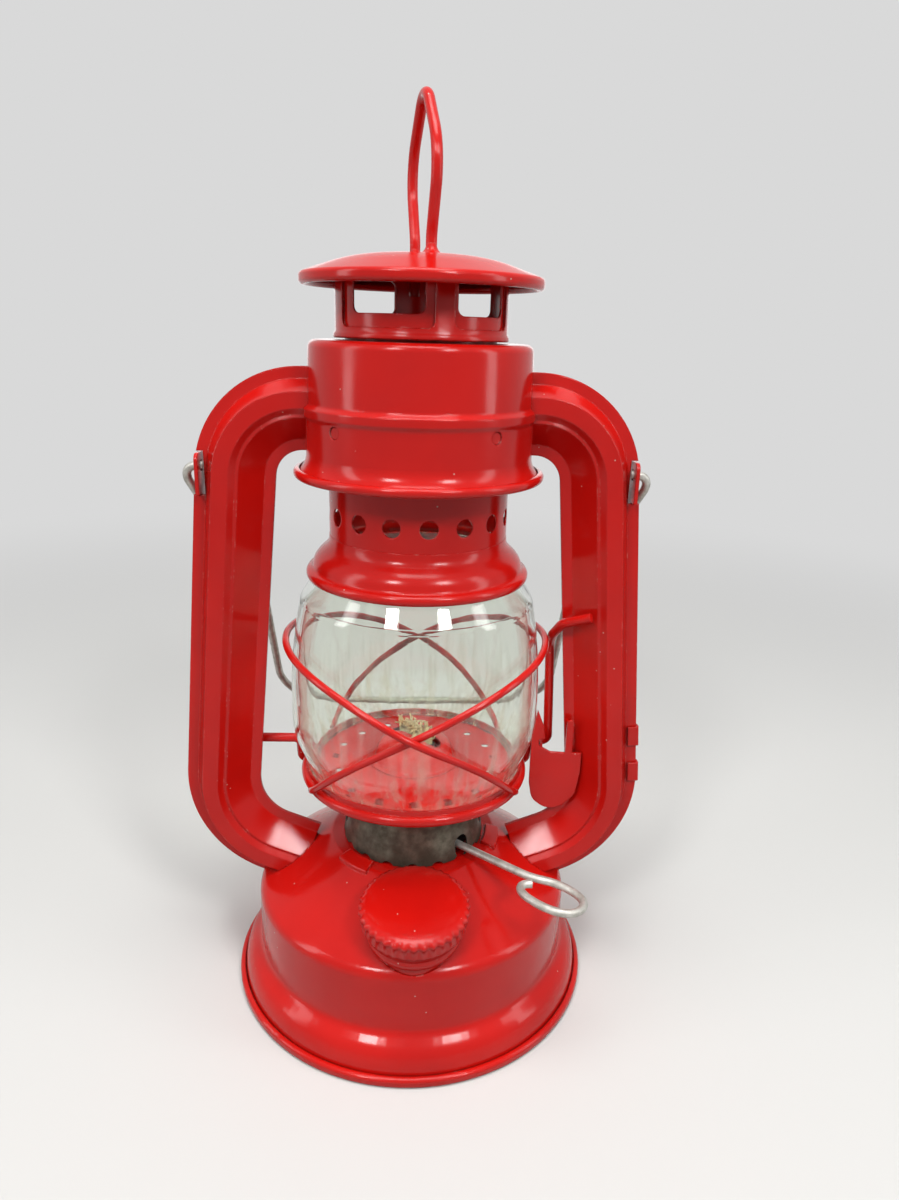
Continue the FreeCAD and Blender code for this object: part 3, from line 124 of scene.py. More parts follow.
def turned(corners, steps=128):
    """Spins a line of corners (radius, height), in millimetres, round the upright axis."""
    deselect()
    bpy.ops.mesh.primitive_plane_add(size=0.001)
    piece = bpy.context.object
    bpy.ops.object.mode_set(mode="EDIT")
    bpy.ops.mesh.select_mode(type="VERT")
    bpy.ops.mesh.select_all(action="SELECT")
    bpy.ops.mesh.merge(type="CENTER")
    last = (0.0, 0.0)
    for number, corner in enumerate(corners):
        step = ((corner[0] - last[0]) * MM, 0, (corner[1] - last[1]) * MM)
        if number == 0:
            bpy.ops.transform.translate(value=step)
        else:
            bpy.ops.mesh.extrude_vertices_move(TRANSFORM_OT_translate={"value": step})
        last = corner
    bpy.ops.mesh.select_all(action="SELECT")
    bpy.ops.mesh.spin(steps=steps, angle=math.radians(360), center=(0, 0, 0), axis=(0, 0, 1))
    bpy.ops.mesh.select_all(action="SELECT")
    bpy.ops.mesh.remove_doubles(threshold=0.00001)
    bpy.ops.mesh.normals_make_consistent(inside=False)
    bpy.ops.object.mode_set(mode="OBJECT")
    return piece


def apply_modifier(piece, kind, **settings):
    """Adds a modifier with its settings and applies it."""
    deselect()
    bpy.context.view_layer.objects.active = piece
    piece.select_set(True)
    modifier = piece.modifiers.new(kind.lower(), kind)
    for name, value in settings.items():
        setattr(modifier, name, value)
    bpy.ops.object.modifier_apply(modifier=modifier.name)
    return piece


def walled(piece, wall=TINPLATE):
    """Gives a turned sheet its thickness on the inner side."""
    return apply_modifier(piece, "SOLIDIFY", thickness=wall * MM, offset=-1.0)


def select_points(piece, wanted):
    """Selects the points of a piece that a test on (x, y, z) picks, and goes to edit mode."""
    deselect()
    bpy.context.view_layer.objects.active = piece
    piece.select_set(True)
    bpy.ops.object.mode_set(mode="EDIT")
    bpy.ops.mesh.select_mode(type="VERT")
    bpy.ops.mesh.select_all(action="DESELECT")
    bpy.ops.object.mode_set(mode="OBJECT")
    for point in piece.data.vertices:
        point.select = wanted(*point.co)
    bpy.ops.object.mode_set(mode="EDIT")


def copy_of(node):
    """A loose copy of one of the workshop's pieces, its triangles merged, that may be changed."""
    deselect()
    source = frame["nodes"][node]
    source.select_set(True)
    bpy.context.view_layer.objects.active = source
    bpy.ops.object.duplicate()
    copy = bpy.context.object
    bpy.ops.object.parent_clear(type="CLEAR_KEEP_TRANSFORM")
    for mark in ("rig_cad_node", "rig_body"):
        del copy[mark]
    bpy.ops.object.mode_set(mode="EDIT")
    bpy.ops.mesh.select_all(action="SELECT")
    bpy.ops.mesh.remove_doubles(threshold=0.000005)
    bpy.ops.object.mode_set(mode="OBJECT")
    bpy.ops.mesh.customdata_custom_splitnormals_clear()
    return copy


new_pieces = {}
print("helpers for turned sheet ready, wall", TINPLATE, "mm")

# %% [markdown]
# ## The tank's flare
# The tank's wall ends in a lip like a bell's: it turns out sharply, swells, and drops steeply into the hem that
# holds the bottom. That swell catches the light from above while the wall over it stays dark. The press gives it
# in one stroke. Here the shell is cut off above the flare, and its open rims are extruded down ring by ring, each
# ring sized to the next radius of the lip. The inner and outer rim go together, so the sheet keeps its thickness.

# %% Draw the flare
TANK_CUT = 15.6
TANK_WALL_R = 47.8
FLARE = [(47.8, 13.4), (47.95, 12.6), (48.4, 11.8), (49.2, 11.0), (50.2, 10.2), (51.15, 9.2), (52.0, 7.9),
         (52.6, 6.4), (53.0, 4.8), (53.2, 3.2), (53.2, 2.0)]

tank = copy_of("fount_shell")
bpy.ops.object.mode_set(mode="EDIT")
bpy.ops.mesh.select_mode(type="EDGE")
bpy.ops.mesh.select_all(action="SELECT")
bpy.ops.mesh.bisect(plane_co=(0, 0, TANK_CUT * MM), plane_no=(0, 0, 1), clear_inner=True)
radius, height = TANK_WALL_R, TANK_CUT
for next_radius, next_height in FLARE:
    bpy.ops.mesh.extrude_edges_move(TRANSFORM_OT_translate={"value": (0, 0, (next_height - height) * MM)})
    bpy.ops.transform.resize(value=(next_radius / radius, next_radius / radius, 1), center_override=(0, 0, 0))
    radius, height = next_radius, next_height
bpy.ops.mesh.bridge_edge_loops()
bpy.ops.object.mode_set(mode="OBJECT")
finish_piece(tank, "tank_shell", 35)
apply_modifier(tank, "WEIGHTED_NORMAL", keep_sharp=True)
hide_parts("fount_shell")
new_pieces[tank] = ("frame", "red_enamel")
print("tank:", len(tank.data.polygons), "faces, flare from", TANK_WALL_R, "to", FLARE[-1][0], "mm")

# %% [markdown]
# ## The fuel cap
# The cap is drawn from one disc. Its edge is crimped like a pie's crust, so that wet fingers can turn it, and the
# crimps run on down the skirt. After the profile is turned, every eighth line of points is scaled out and the
# lines between them less, which bends the rim into waves. The cap is made upright and then tipped forward with
# the filler neck.

# %% Turn and crimp the cap
CAP_PLACE = (0.7, -37.3, 46.4)
CAP_TILT = 7.2
CAP = [(0, 1.0), (5.0, 0.96), (9.0, 0.8), (11.8, 0.55), (13.4, 0.25), (14.3, -0.1), (14.9, -0.6), (15.1, -1.1),
       (15.05, -1.6), (14.8, -1.95), (14.72, -2.5), (14.72, -5.2), (14.45, -5.2), (14.45, -0.8), (0, -0.8)]
CRIMPS = 36
CRIMP_POINTS = 8
CRIMP_BANDS = [(-2.2, -0.3, 0.022), (-5.5, -2.2, 0.007)]
CRUST_LOW = -2.2
CRUST_R = 14.2
CAP_SKIRT_R = 14.6


def stand_on_neck(piece):
    """Tips an upright piece with the filler neck's axis and puts it there."""
    piece.rotation_euler = (math.radians(CAP_TILT), 0, 0)
    piece.location = [v * MM for v in CAP_PLACE]


cap = turned(CAP, CRIMPS * CRIMP_POINTS)
for phase in range(CRIMP_POINTS):
    wave = math.cos(2 * math.pi * phase / CRIMP_POINTS)
    for low, high, share in CRIMP_BANDS:
        def on_crimp(x, y, z):
            step = round(math.atan2(y, x) / (2 * math.pi) * CRIMPS * CRIMP_POINTS)
            rim = math.hypot(x, y) > (CRUST_R if z > CRUST_LOW * MM else CAP_SKIRT_R) * MM
            return rim and low * MM < z <= high * MM and step % CRIMP_POINTS == phase
        select_points(cap, on_crimp)
        bpy.ops.transform.resize(value=(1 + share * wave, 1 + share * wave, 1), center_override=(0, 0, 0))
        bpy.ops.object.mode_set(mode="OBJECT")
stand_on_neck(cap)
finish_piece(cap, "fuel_cap_crimped", 50)
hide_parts("fuel_cap")
new_pieces[cap] = ("fuel_cap", "red_enamel")
print("cap:", CRIMPS, "crimps,", len(cap.data.polygons), "faces")

# %% [markdown]
# ## The boss under the cap
# The filler neck is soldered into a round boss that swells out of the shoulder, with a fine bead round it. It is
# turned about the neck's axis and sinks into the shoulder behind.

# %% Turn the boss
BOSS = [(14.0, -4.9), (14.0, -5.6), (13.65, -6.1), (13.45, -6.6), (13.45, -7.6), (13.2, -7.9), (13.2, -8.1),
        (13.45, -8.4), (13.4, -9.7), (13.1, -10.7), (12.4, -11.6), (11.4, -12.2), (10.4, -12.5)]

boss = walled(turned(BOSS, 96), 0.4)
stand_on_neck(boss)
finish_piece(boss, "filler_boss", 50)
new_pieces[boss] = ("frame", "red_enamel")
print("boss:", len(boss.data.polygons), "faces")

# %% [markdown]
# ## The bell over the glass
# The cover on the globe flows out of the neck in one soft sweep, swells over the glass's shoulder, draws in to a
# waist and ends in a rolled edge. It is turned from that line, with close points where the sweep is tightest.

# %% Turn the bell
BELL = [(24.68, 141.6), (24.78, 140.2), (25.15, 139.1), (25.9, 138.2), (26.9, 137.3), (27.9, 136.3), (28.7, 135.2),
        (29.2, 134.1), (29.4, 133.1), (29.55, 132.6), (30.1, 132.25), (30.8, 131.95), (31.2, 131.3),
        (31.2, 130.4), (30.9, 129.75), (30.4, 129.5), (29.8, 129.7), (29.6, 130.4)]

bell = walled(turned(BELL, 144))
finish_piece(bell, "globe_bell_swept", 60)
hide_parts("globe_bell")
new_pieces[bell] = ("chimney", "red_enamel")
print("bell:", len(bell.data.polygons), "faces")

# %% [markdown]
# ## The hood's skirt
# The skirt under the hood has four windows that let the smoke out. Round each window the sheet is pressed in as a
# panel with rounded corners, so that the posts between them stand proud and stiffen it. A ring is turned, and
# blocks with rounded corners are taken away from it with Boolean: first blocks that a cylinder keeps from
# reaching deeper than the pressing, then the windows, right through.

# %% Turn the skirt and press its panels
SKIRT = [(20.0, 193.2), (22.6, 193.2), (22.9, 193.5), (22.9, 194.2), (22.65, 194.6), (22.4, 195.0), (22.4, 210.9),
         (21.1, 210.9), (21.1, 193.9), (20.0, 193.9), (20.0, 193.2)]
PANEL_FLOOR_R = 21.65
PANELS = [(-26.5, 25.4, 195.9, 212.0), (46.0, 19.0, 195.9, 212.0), (140.0, 19.0, 195.9, 212.0),
          (-131.5, 25.4, 195.9, 212.0)]
WINDOWS = [(-24.0, 19.2, 199.2, 208.4), (45.0, 15.8, 199.0, 208.4), (140.0, 15.3, 199.4, 208.4),
           (-131.5, 20.0, 199.4, 208.4)]
CORNER_R = 1.8
CORE_LOW = 190
CORE_HIGH = 214


def block(azimuth, width, low, high, near=17.0, far=26.0):
    """A block with four rounded corners that faces outwards at an azimuth."""
    deselect()
    bpy.ops.mesh.primitive_cube_add(size=1, location=(0, 0, 0))
    made = bpy.context.object
    bpy.ops.object.mode_set(mode="EDIT")
    bpy.ops.transform.resize(value=(width * MM, (far - near) * MM, (high - low) * MM))
    bpy.ops.mesh.select_mode(type="EDGE")
    bpy.ops.mesh.select_all(action="DESELECT")
    bpy.ops.object.mode_set(mode="OBJECT")
    for edge in made.data.edges:
        first, second = [made.data.vertices[i].co for i in edge.vertices]
        edge.select = abs(first.x - second.x) < 1e-6 and abs(first.z - second.z) < 1e-6
    bpy.ops.object.mode_set(mode="EDIT")
    bpy.ops.mesh.bevel(offset=CORNER_R * MM, segments=6, affect="EDGES")
    bpy.ops.object.mode_set(mode="OBJECT")
    turn = math.radians(azimuth)
    middle = (near + far) / 2 * MM
    made.location = (middle * math.sin(turn), -middle * math.cos(turn), (low + high) / 2 * MM)
    made.rotation_euler = (0, 0, turn)
    bpy.ops.object.transform_apply(location=True, rotation=True, scale=True)
    return made


def cut_away(piece, tool):
    """Takes one solid out of another and throws the tool away."""
    apply_modifier(piece, "BOOLEAN", operation="DIFFERENCE", solver="EXACT", object=tool)
    bpy.data.objects.remove(tool)


skirt = turned(SKIRT, 144)
for panel in PANELS:
    press = block(*panel)
    core = turned([(0, CORE_LOW), (PANEL_FLOOR_R, CORE_LOW), (PANEL_FLOOR_R, CORE_HIGH), (0, CORE_HIGH)], 144)
    cut_away(press, core)
    cut_away(skirt, press)
for window in WINDOWS:
    cut_away(skirt, block(*window))
finish_piece(skirt, "hood_skirt_pressed", 35)
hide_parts("hood_skirt")
new_pieces[skirt] = ("chimney", "red_enamel")
print("skirt:", len(skirt.data.polygons), "faces,", len(WINDOWS), "windows")

# %% [markdown]
# ## Tabs at the lift ring's feet
# Where the ring's two wires go into the hood, the sheet is pierced from below and stands up round the wire in a
# small torn tent. One is turned as a flared collar, narrowed across the ring, and copied to the other wire.

# %% Turn the tabs
TAB = [(3.9, -0.15), (3.0, 0.2), (2.3, 0.8), (1.85, 1.6), (1.65, 2.3), (1.45, 2.3), (1.45, -0.4), (3.9, -0.4),
       (3.9, -0.15)]
RING_TURN = 12.5
RING_LEG = 9.5
HOOD_LEVEL = 213.5
TAB_NARROWED = 0.72

for name, side in (("ring_tab_front", -1), ("ring_tab_back", 1)):
    tab = turned(TAB, 32)
    tab.scale = (TAB_NARROWED, 1.0, 1.0)
    tab.rotation_euler = (0, 0, math.radians(RING_TURN))
    turn = math.radians(RING_TURN)
    tab.location = (-side * RING_LEG * math.sin(turn) * MM, side * RING_LEG * math.cos(turn) * MM, HOOD_LEVEL * MM)
    finish_piece(tab, name, 50)
    new_pieces[tab] = ("chimney", "red_enamel")
print("two tabs at", RING_LEG, "mm from the axis")

# %% [markdown]
# ## The wick adjuster's wire
# The adjuster is one zinc-coated wire. It comes out of the collar straight and is bent round into an oval eye for
# finger and thumb, its end closing against the shank. A smooth NURBS line with a round bevel is the natural tool
# for bent wire: its control points pull the line, so every bend is soft. It is drawn along X and turned into the
# burner's direction.

# %% Bend the adjuster
BURNER_TURN = -39.0
SHAFT_Z = 49.9
EYE = [(-8.0, -2.9), (10.0, -2.9), (28.0, -2.9), (40.0, -2.9), (46.0, -2.8), (50.5, -0.7), (57.0, -0.5),
       (62.9, -2.4), (63.3, -8.6), (57.6, -11.7), (50.5, -11.4), (45.0, -9.8), (44.6, -6.6), (47.0, -5.0)]
WIRE_R = 1.15


def wire_along(points, radius, resolution=10, order=4):
    """A round wire along a smooth line through space, from points in millimetres."""
    deselect()
    bpy.ops.curve.primitive_nurbs_path_add()
    wire = bpy.context.object
    spline = wire.data.splines[0]
    spline.points.add(len(points) - len(spline.points))
    for control, point in zip(spline.points, points):
        control.co = (*[v * MM for v in point], 1.0)
    spline.order_u = order
    spline.use_endpoint_u = True
    spline.resolution_u = resolution
    wire.data.bevel_depth = radius * MM
    wire.data.bevel_resolution = 4 if radius > 0.5 else 1
    wire.data.use_fill_caps = True
    bpy.ops.object.convert(target="MESH")
    return bpy.context.object


adjuster = wire_along([(x, y, SHAFT_Z) for x, y in EYE], WIRE_R)
adjuster.rotation_euler = (0, 0, math.radians(BURNER_TURN))
finish_piece(adjuster, "wick_adjuster_wire", 60)
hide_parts("wick_adjuster")
new_pieces[adjuster] = ("adjuster", "galvanised_wire")
print("adjuster:", len(adjuster.data.polygons), "faces")

# %% [markdown]
# ## The frayed wick
# The wick is a flat cotton tape. Where it has burnt and been pulled about, its end has come apart into a clump of
# curled threads. The tape is cut off just above the burner, a few threads are bent once, and copies of them are
# turned, sized and planted along the tape's end. The numbers come from a seeded row, so the clump is always the
# same one.

# %% Fray the wick
FRAY_SEED = 11
THREADS = 110
TAPE_TOP = 79.6
TAPE_HALF = 5.2
TAPE_OFF = 0.5
TAPE_HALF_THICK = 0.6
ROOT_DEPTH = (0.4, 1.2)
THREAD_R = 0.2
THREAD_TIP = 0.75
THREAD_LEAN = 0.5
THREAD_FAN = 9
THREAD_SIZE = (0.7, 1.25)
THREAD_LINES = [
    [(0, 0, 0), (0.1, 0, 1.4), (0.7, 0.3, 2.8), (1.8, 0.2, 3.5), (2.9, -0.3, 3.1)],
    [(0, 0, 0), (-0.4, 0.2, 1.2), (0.3, 0.4, 2.6), (-0.3, -0.2, 3.6), (0.6, -0.4, 4.4)],
    [(0, 0, 0), (0.5, -0.2, 1.0), (1.4, 0.2, 1.7), (1.6, 0.9, 2.7), (0.7, 1.3, 3.3)],
]

wick = copy_of("wick")
bpy.ops.object.mode_set(mode="EDIT")
bpy.ops.mesh.select_all(action="SELECT")
bpy.ops.mesh.bisect(plane_co=(0, 0, TAPE_TOP * MM), plane_no=(0, 0, 1), clear_outer=True, use_fill=True)
bpy.ops.object.mode_set(mode="OBJECT")
patterns = [wire_along(line, THREAD_R, 3) for line in THREAD_LINES]
pick = random.Random(FRAY_SEED)
threads = []
turn = math.radians(BURNER_TURN)
for number in range(THREADS):
    deselect()
    pattern = patterns[number % len(patterns)]
    pattern.select_set(True)
    bpy.context.view_layer.objects.active = pattern
    bpy.ops.object.duplicate()
    thread = bpy.context.object
    along = pick.uniform(-TAPE_HALF, TAPE_HALF)
    across = TAPE_OFF + pick.uniform(-TAPE_HALF_THICK, TAPE_HALF_THICK)
    thread.location = ((along * math.cos(turn) - across * math.sin(turn)) * MM,
                       (along * math.sin(turn) + across * math.cos(turn)) * MM,
                       (TAPE_TOP - pick.uniform(*ROOT_DEPTH)) * MM)
    thread.rotation_euler = (pick.uniform(-THREAD_TIP, THREAD_TIP),
                             along / THREAD_FAN + pick.uniform(-THREAD_LEAN, THREAD_LEAN),
                             pick.uniform(0, 2 * math.pi))
    thread.scale = [pick.uniform(*THREAD_SIZE)] * 3
    threads.append(thread)
for pattern in patterns:
    bpy.data.objects.remove(pattern)
deselect()
for thread in threads:
    thread.select_set(True)
wick.select_set(True)
bpy.context.view_layer.objects.active = wick
bpy.ops.object.join()
finish_piece(wick, "wick_frayed", 60)
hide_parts("wick")
new_pieces[wick] = ("wick", "wick_cotton")
print("wick:", THREADS, "threads,", len(wick.data.polygons), "faces")

# %% [markdown]
# ## What moves with what
# A new piece moves with the body that it is fixed to: the bell goes up with the chimney, the cap turns off with
# its gasket, the wick climbs in its tube. Each piece is hung on its body here; its finish is put on below with the
# others.

# %% Hang the new pieces on their bodies
for piece, (body, finish) in new_pieces.items():
    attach(piece, body)
print("new pieces:", sorted(piece.name for piece in new_pieces))

# %% [markdown]
# ## The studio sweep
# A glossy red thing is mostly seen by what it reflects. Its floor runs up into a round backdrop with no corner, so
# no dark line shows in the enamel from any side. The floor starts as a filled circle, and its edge is extruded
# ring by ring along a quarter circle, which is the way to make a sweep by hand.

# %% Floor and backdrop in one sweep
FLOOR_R = 1.5
SWEEP_R = 1.3
SWEEP_STEPS = 12

deselect()
bpy.ops.mesh.primitive_circle_add(vertices=96, radius=FLOOR_R, fill_type="NGON")
floor = bpy.context.object
bpy.ops.object.mode_set(mode="EDIT")
bpy.ops.mesh.select_mode(type="EDGE")
bpy.ops.mesh.select_all(action="DESELECT")
bpy.ops.mesh.select_non_manifold(use_wire=False, use_multi_face=False, use_non_contiguous=False, use_verts=False)
radius, height = FLOOR_R, 0.0
for step in range(1, SWEEP_STEPS + 1):
    turn = math.radians(90) * step / SWEEP_STEPS
    next_radius = FLOOR_R + SWEEP_R * math.sin(turn)
    next_height = SWEEP_R * (1 - math.cos(turn))
    bpy.ops.mesh.extrude_edges_move(TRANSFORM_OT_translate={"value": (0, 0, next_height - height)})
    bpy.ops.transform.resize(value=(next_radius / radius, next_radius / radius, 1), center_override=(0, 0, 0))
    radius, height = next_radius, next_height
bpy.ops.object.mode_set(mode="OBJECT")
finish_piece(floor, "floor", 60)
print("sweep:", len(floor.data.polygons), "faces, up to", round(height, 2), "m")

# %% [markdown]
# ## Soft lamps
# Most of the light falls from above, as under a ceiling, so everything that faces up glows and the upright walls
# stay deep red. Two small square lamps high in front leave a crisp glint on every round edge, two upright strips
# draw a thin line down the side tubes, and a lamp behind lights the back. Their power is set so that a plain
# colour renders about as it is written.

# %% Lamps
LAMPS = {
    "lamp_above": {"place": (0.0, -0.14, 0.90), "size": (0.45, 0.40), "power": 4.6},
    "lamp_front_left": {"place": (-0.34, -0.62, 0.72), "size": (0.16, 0.16), "power": 2.6},
    "lamp_front_right": {"place": (0.36, -0.58, 0.70), "size": (0.16, 0.16), "power": 2.6},
    "lamp_side_left": {"place": (-0.70, -0.20, 0.40), "size": (0.16, 0.60), "power": 1.3},
    "lamp_side_right": {"place": (0.70, -0.22, 0.40), "size": (0.16, 0.60), "power": 1.3},
    "lamp_back": {"place": (0.0, 0.80, 0.26), "size": (0.60, 0.24), "power": 0.45},
}
LAMP_AIM = (0.0, 0.0, 0.10)

for name, lamp in LAMPS.items():
    deselect()
    bpy.ops.object.light_add(type="AREA", location=lamp["place"])
    light = bpy.context.object
    light.name = name
    light.data.shape = "RECTANGLE"
    light.data.size, light.data.size_y = lamp["size"]
    light.data.energy = lamp["power"]
    back = light.location.copy()
    back.x -= LAMP_AIM[0]
    back.y -= LAMP_AIM[1]
    back.z -= LAMP_AIM[2]
    light.rotation_euler = back.to_track_quat("Z", "Y").to_euler()
print(len(LAMPS), "lamps,", sum(lamp["power"] for lamp in LAMPS.values()), "W together")

# %% [markdown]
# ## Colours and nodes
# A colour given in hex is an sRGB value, but a shader works in linear light, so one function turns one into the
# other. Another one adds a node, sets it up and joins it. With these two a finish reads from top to bottom like
# a recipe: where the pattern lies, what it looks like, and which socket it feeds.

# %% Helpers for materials
def linear(hex_colour):
    """An sRGB hex colour as the linear colour that a shader takes."""
    parts = [int(hex_colour[i:i + 2], 16) / 255 for i in (1, 3, 5)]
    return (*[p / 12.92 if p <= 0.04045 else ((p + 0.055) / 1.055) ** 2.4 for p in parts], 1.0)


def add(tree, kind, inputs=(), **settings):
    """Adds a node. Each input, by name or number, gets a value or the output that is joined to it."""
    made = tree.nodes.new(kind)
    for name, value in settings.items():
        setattr(made, name, value)
    for key, value in dict(inputs).items():
        if isinstance(value, bpy.types.NodeSocket):
            tree.links.new(value, made.inputs[key])
        else:
            made.inputs[key].default_value = value
    return made


def new_material(name):
    """An empty material and its node tree."""
    material = bpy.data.materials.new(name)
    material.use_nodes = True
    material.node_tree.nodes.clear()
    return material, material.node_tree


def per_mm(size_mm):
    """The scale of a pattern whose features are this many millimetres apart."""
    return 1000 / size_mm


def looked_at(tree):
    """One where the eye, the gloss or the glass looks, and nought for light that only bounces."""
    path = add(tree, "ShaderNodeLightPath")
    mirrored = add(tree, "ShaderNodeMath", {0: path.outputs["Is Camera Ray"], 1: path.outputs["Is Glossy Ray"]},
                   operation="MAXIMUM").outputs[0]
    return add(tree, "ShaderNodeMath", {0: mirrored, 1: path.outputs["Is Transmission Ray"]},
               operation="MAXIMUM").outputs[0]


MIX_A, MIX_B, MIX_COLOUR = 6, 7, 2
print("helpers ready; a 2 mm pattern has scale", per_mm(2))

# %% [markdown]
# ## Red enamel on tinplate
# The lantern's pressings are tinplate dipped in glossy alkyd enamel and baked. The coat is thick and flows, so
# it lies in soft hills a millimetre or two across, like orange peel, and the thin sheet below has shallow dents.
# Brown dust sticks where two pieces meet and no cloth reaches, and these corners are darkened as painted shade as well:
# ambient occlusion finds them, and one mask paints dust and shade there together. On the sharpest edges the coat has
# worn to pale primer and metal, which a bevelled normal finds: it differs from the true one only near an edge. Tiny
# pale chips are scattered over the rest: a Voronoi pattern gives each its place, and a random value per cell keeps most
# of the cells empty.

# %% Enamel
ENAMEL_RED = "#d6170f"
ENAMEL_DEEP = "#ad0d0a"
# The brown that the corners are darkened towards, and its share: brown dust and painted shade together.
DUST_AND_SHADE_BROWN = "#3d1c12"
PRIMER = "#c39a90"
DUST_AND_SHADE_SHARE = 0.85
WEAR_SHARE = 0.6
ENAMEL_IOR = 1.52
ENAMEL_SHEEN = 0.28
PEEL_MM = 1.6
DENT_MM = 24
# How far ambient occlusion reaches when it darkens the corners with dust and painted shade.
DUST_AND_SHADE_REACH = 0.0045
EDGE_WIDTH = 0.0006
CHIP_MM = 4.0


def make_enamel(name):
    """Glossy baked enamel with dust and painted shade darkening its corners, and wear on its edges."""
    material, tree = new_material(name)
    place = add(tree, "ShaderNodeTexCoord").outputs["Object"]
    shape = add(tree, "ShaderNodeNewGeometry")

    cloud = add(tree, "ShaderNodeTexNoise", {"Vector": place, "Scale": per_mm(30), "Detail": 3.0}).outputs["Fac"]
    coat = add(tree, "ShaderNodeMix", {0: cloud, MIX_A: linear(ENAMEL_RED), MIX_B: linear(ENAMEL_DEEP)},
               data_type="RGBA")

    # Painted shade and dust: ambient occlusion darkens corners and seams towards brown, broken up by noise.
    corner = add(tree, "ShaderNodeAmbientOcclusion", {"Distance": DUST_AND_SHADE_REACH}, samples=6).outputs["AO"]
    closed = add(tree, "ShaderNodeMapRange", {"Value": corner, "From Min": 0.66, "From Max": 0.12}).outputs[0]
    patch = add(tree, "ShaderNodeTexNoise", {"Vector": place, "Scale": per_mm(4), "Detail": 5.0}).outputs["Fac"]
    patchy = add(tree, "ShaderNodeMapRange", {"Value": patch, "From Min": 0.32, "From Max": 0.68}).outputs[0]
    held = add(tree, "ShaderNodeMath", {0: closed, 1: patchy}, operation="MULTIPLY").outputs[0]
    dust_and_shade = add(tree, "ShaderNodeMath", {0: held, 1: DUST_AND_SHADE_SHARE}, operation="MULTIPLY", use_clamp=True).outputs[0]
    dust_and_shade_coat = add(tree, "ShaderNodeMix", {0: dust_and_shade, MIX_A: coat.outputs[MIX_COLOUR], MIX_B: linear(DUST_AND_SHADE_BROWN)},
                 data_type="RGBA")

    soft = add(tree, "ShaderNodeBevel", {"Radius": EDGE_WIDTH}, samples=4).outputs[0]
    along = add(tree, "ShaderNodeVectorMath", {0: soft, 1: shape.outputs["True Normal"]},
                operation="DOT_PRODUCT").outputs["Value"]
    edge = add(tree, "ShaderNodeMapRange", {"Value": along, "From Min": 0.97, "From Max": 0.80}).outputs[0]
    rub = add(tree, "ShaderNodeTexNoise", {"Vector": place, "Scale": per_mm(2.4), "Detail": 6.0,
                                           "Roughness": 0.7}).outputs["Fac"]
    rubbed = add(tree, "ShaderNodeMapRange", {"Value": rub, "From Min": 0.56, "From Max": 0.66}).outputs[0]
    bare = add(tree, "ShaderNodeMath", {0: edge, 1: rubbed}, operation="MULTIPLY").outputs[0]
    worn = add(tree, "ShaderNodeMath", {0: bare, 1: WEAR_SHARE}, operation="MULTIPLY", use_clamp=True).outputs[0]
    chip = add(tree, "ShaderNodeTexVoronoi", {"Vector": place, "Scale": per_mm(CHIP_MM)})
    small = add(tree, "ShaderNodeMath", {0: chip.outputs["Distance"], 1: 0.05}, operation="LESS_THAN").outputs[0]
    few = add(tree, "ShaderNodeSeparateColor", {0: chip.outputs["Color"]}).outputs[0]
    seldom = add(tree, "ShaderNodeMath", {0: few, 1: 0.35}, operation="LESS_THAN").outputs[0]
    chipped = add(tree, "ShaderNodeMath", {0: small, 1: seldom}, operation="MULTIPLY").outputs[0]
    lost = add(tree, "ShaderNodeMath", {0: worn, 1: chipped}, operation="MAXIMUM").outputs[0]
    colour = add(tree, "ShaderNodeMix", {0: lost, MIX_A: dust_and_shade_coat.outputs[MIX_COLOUR], MIX_B: linear(PRIMER)},
                 data_type="RGBA")

    smear = add(tree, "ShaderNodeTexNoise", {"Vector": place, "Scale": per_mm(14), "Detail": 4.0}).outputs["Fac"]
    gloss = add(tree, "ShaderNodeMapRange", {"Value": smear, "From Min": 0.3, "From Max": 0.7, "To Min": 0.12,
                                             "To Max": 0.22}).outputs[0]
    # The same dust-and-shade mask also makes the coat rougher in the corners.
    dulled = add(tree, "ShaderNodeMath", {0: dust_and_shade, 1: 0.45, 2: gloss}, operation="MULTIPLY_ADD").outputs[0]
    rough = add(tree, "ShaderNodeMath", {0: worn, 1: 0.25, 2: dulled}, operation="MULTIPLY_ADD",
                use_clamp=True).outputs[0]

    dent = add(tree, "ShaderNodeTexNoise", {"Vector": place, "Scale": per_mm(DENT_MM), "Detail": 1.0}).outputs["Fac"]
    peel = add(tree, "ShaderNodeTexNoise", {"Vector": place, "Scale": per_mm(PEEL_MM), "Detail": 2.0}).outputs["Fac"]
    dented = add(tree, "ShaderNodeBump", {"Height": dent, "Strength": 0.35, "Distance": 0.0008, "Normal": soft})
    peeled = add(tree, "ShaderNodeBump", {"Height": peel, "Strength": 0.10, "Distance": 0.00010,
                                          "Normal": dented.outputs[0]})
    surface = add(tree, "ShaderNodeBsdfPrincipled", {
        "Base Color": colour.outputs[MIX_COLOUR], "Roughness": rough, "IOR": ENAMEL_IOR,
        "Specular IOR Level": ENAMEL_SHEEN, "Normal": peeled.outputs[0]})
    add(tree, "ShaderNodeOutputMaterial", {"Surface": surface.outputs[0]})
    return material


red_enamel = make_enamel("red_baked_enamel")
print("enamel:", len(red_enamel.node_tree.nodes), "nodes")

# %% [markdown]
# ## Zinc, steel, brass
# The burner collar is galvanised sheet that years of oil and heat have stained brown. The wires are dipped in
# zinc, which dries in soft grey mottles. Both are metals, so their colour sits in the reflection and their
# roughness does most of the work.

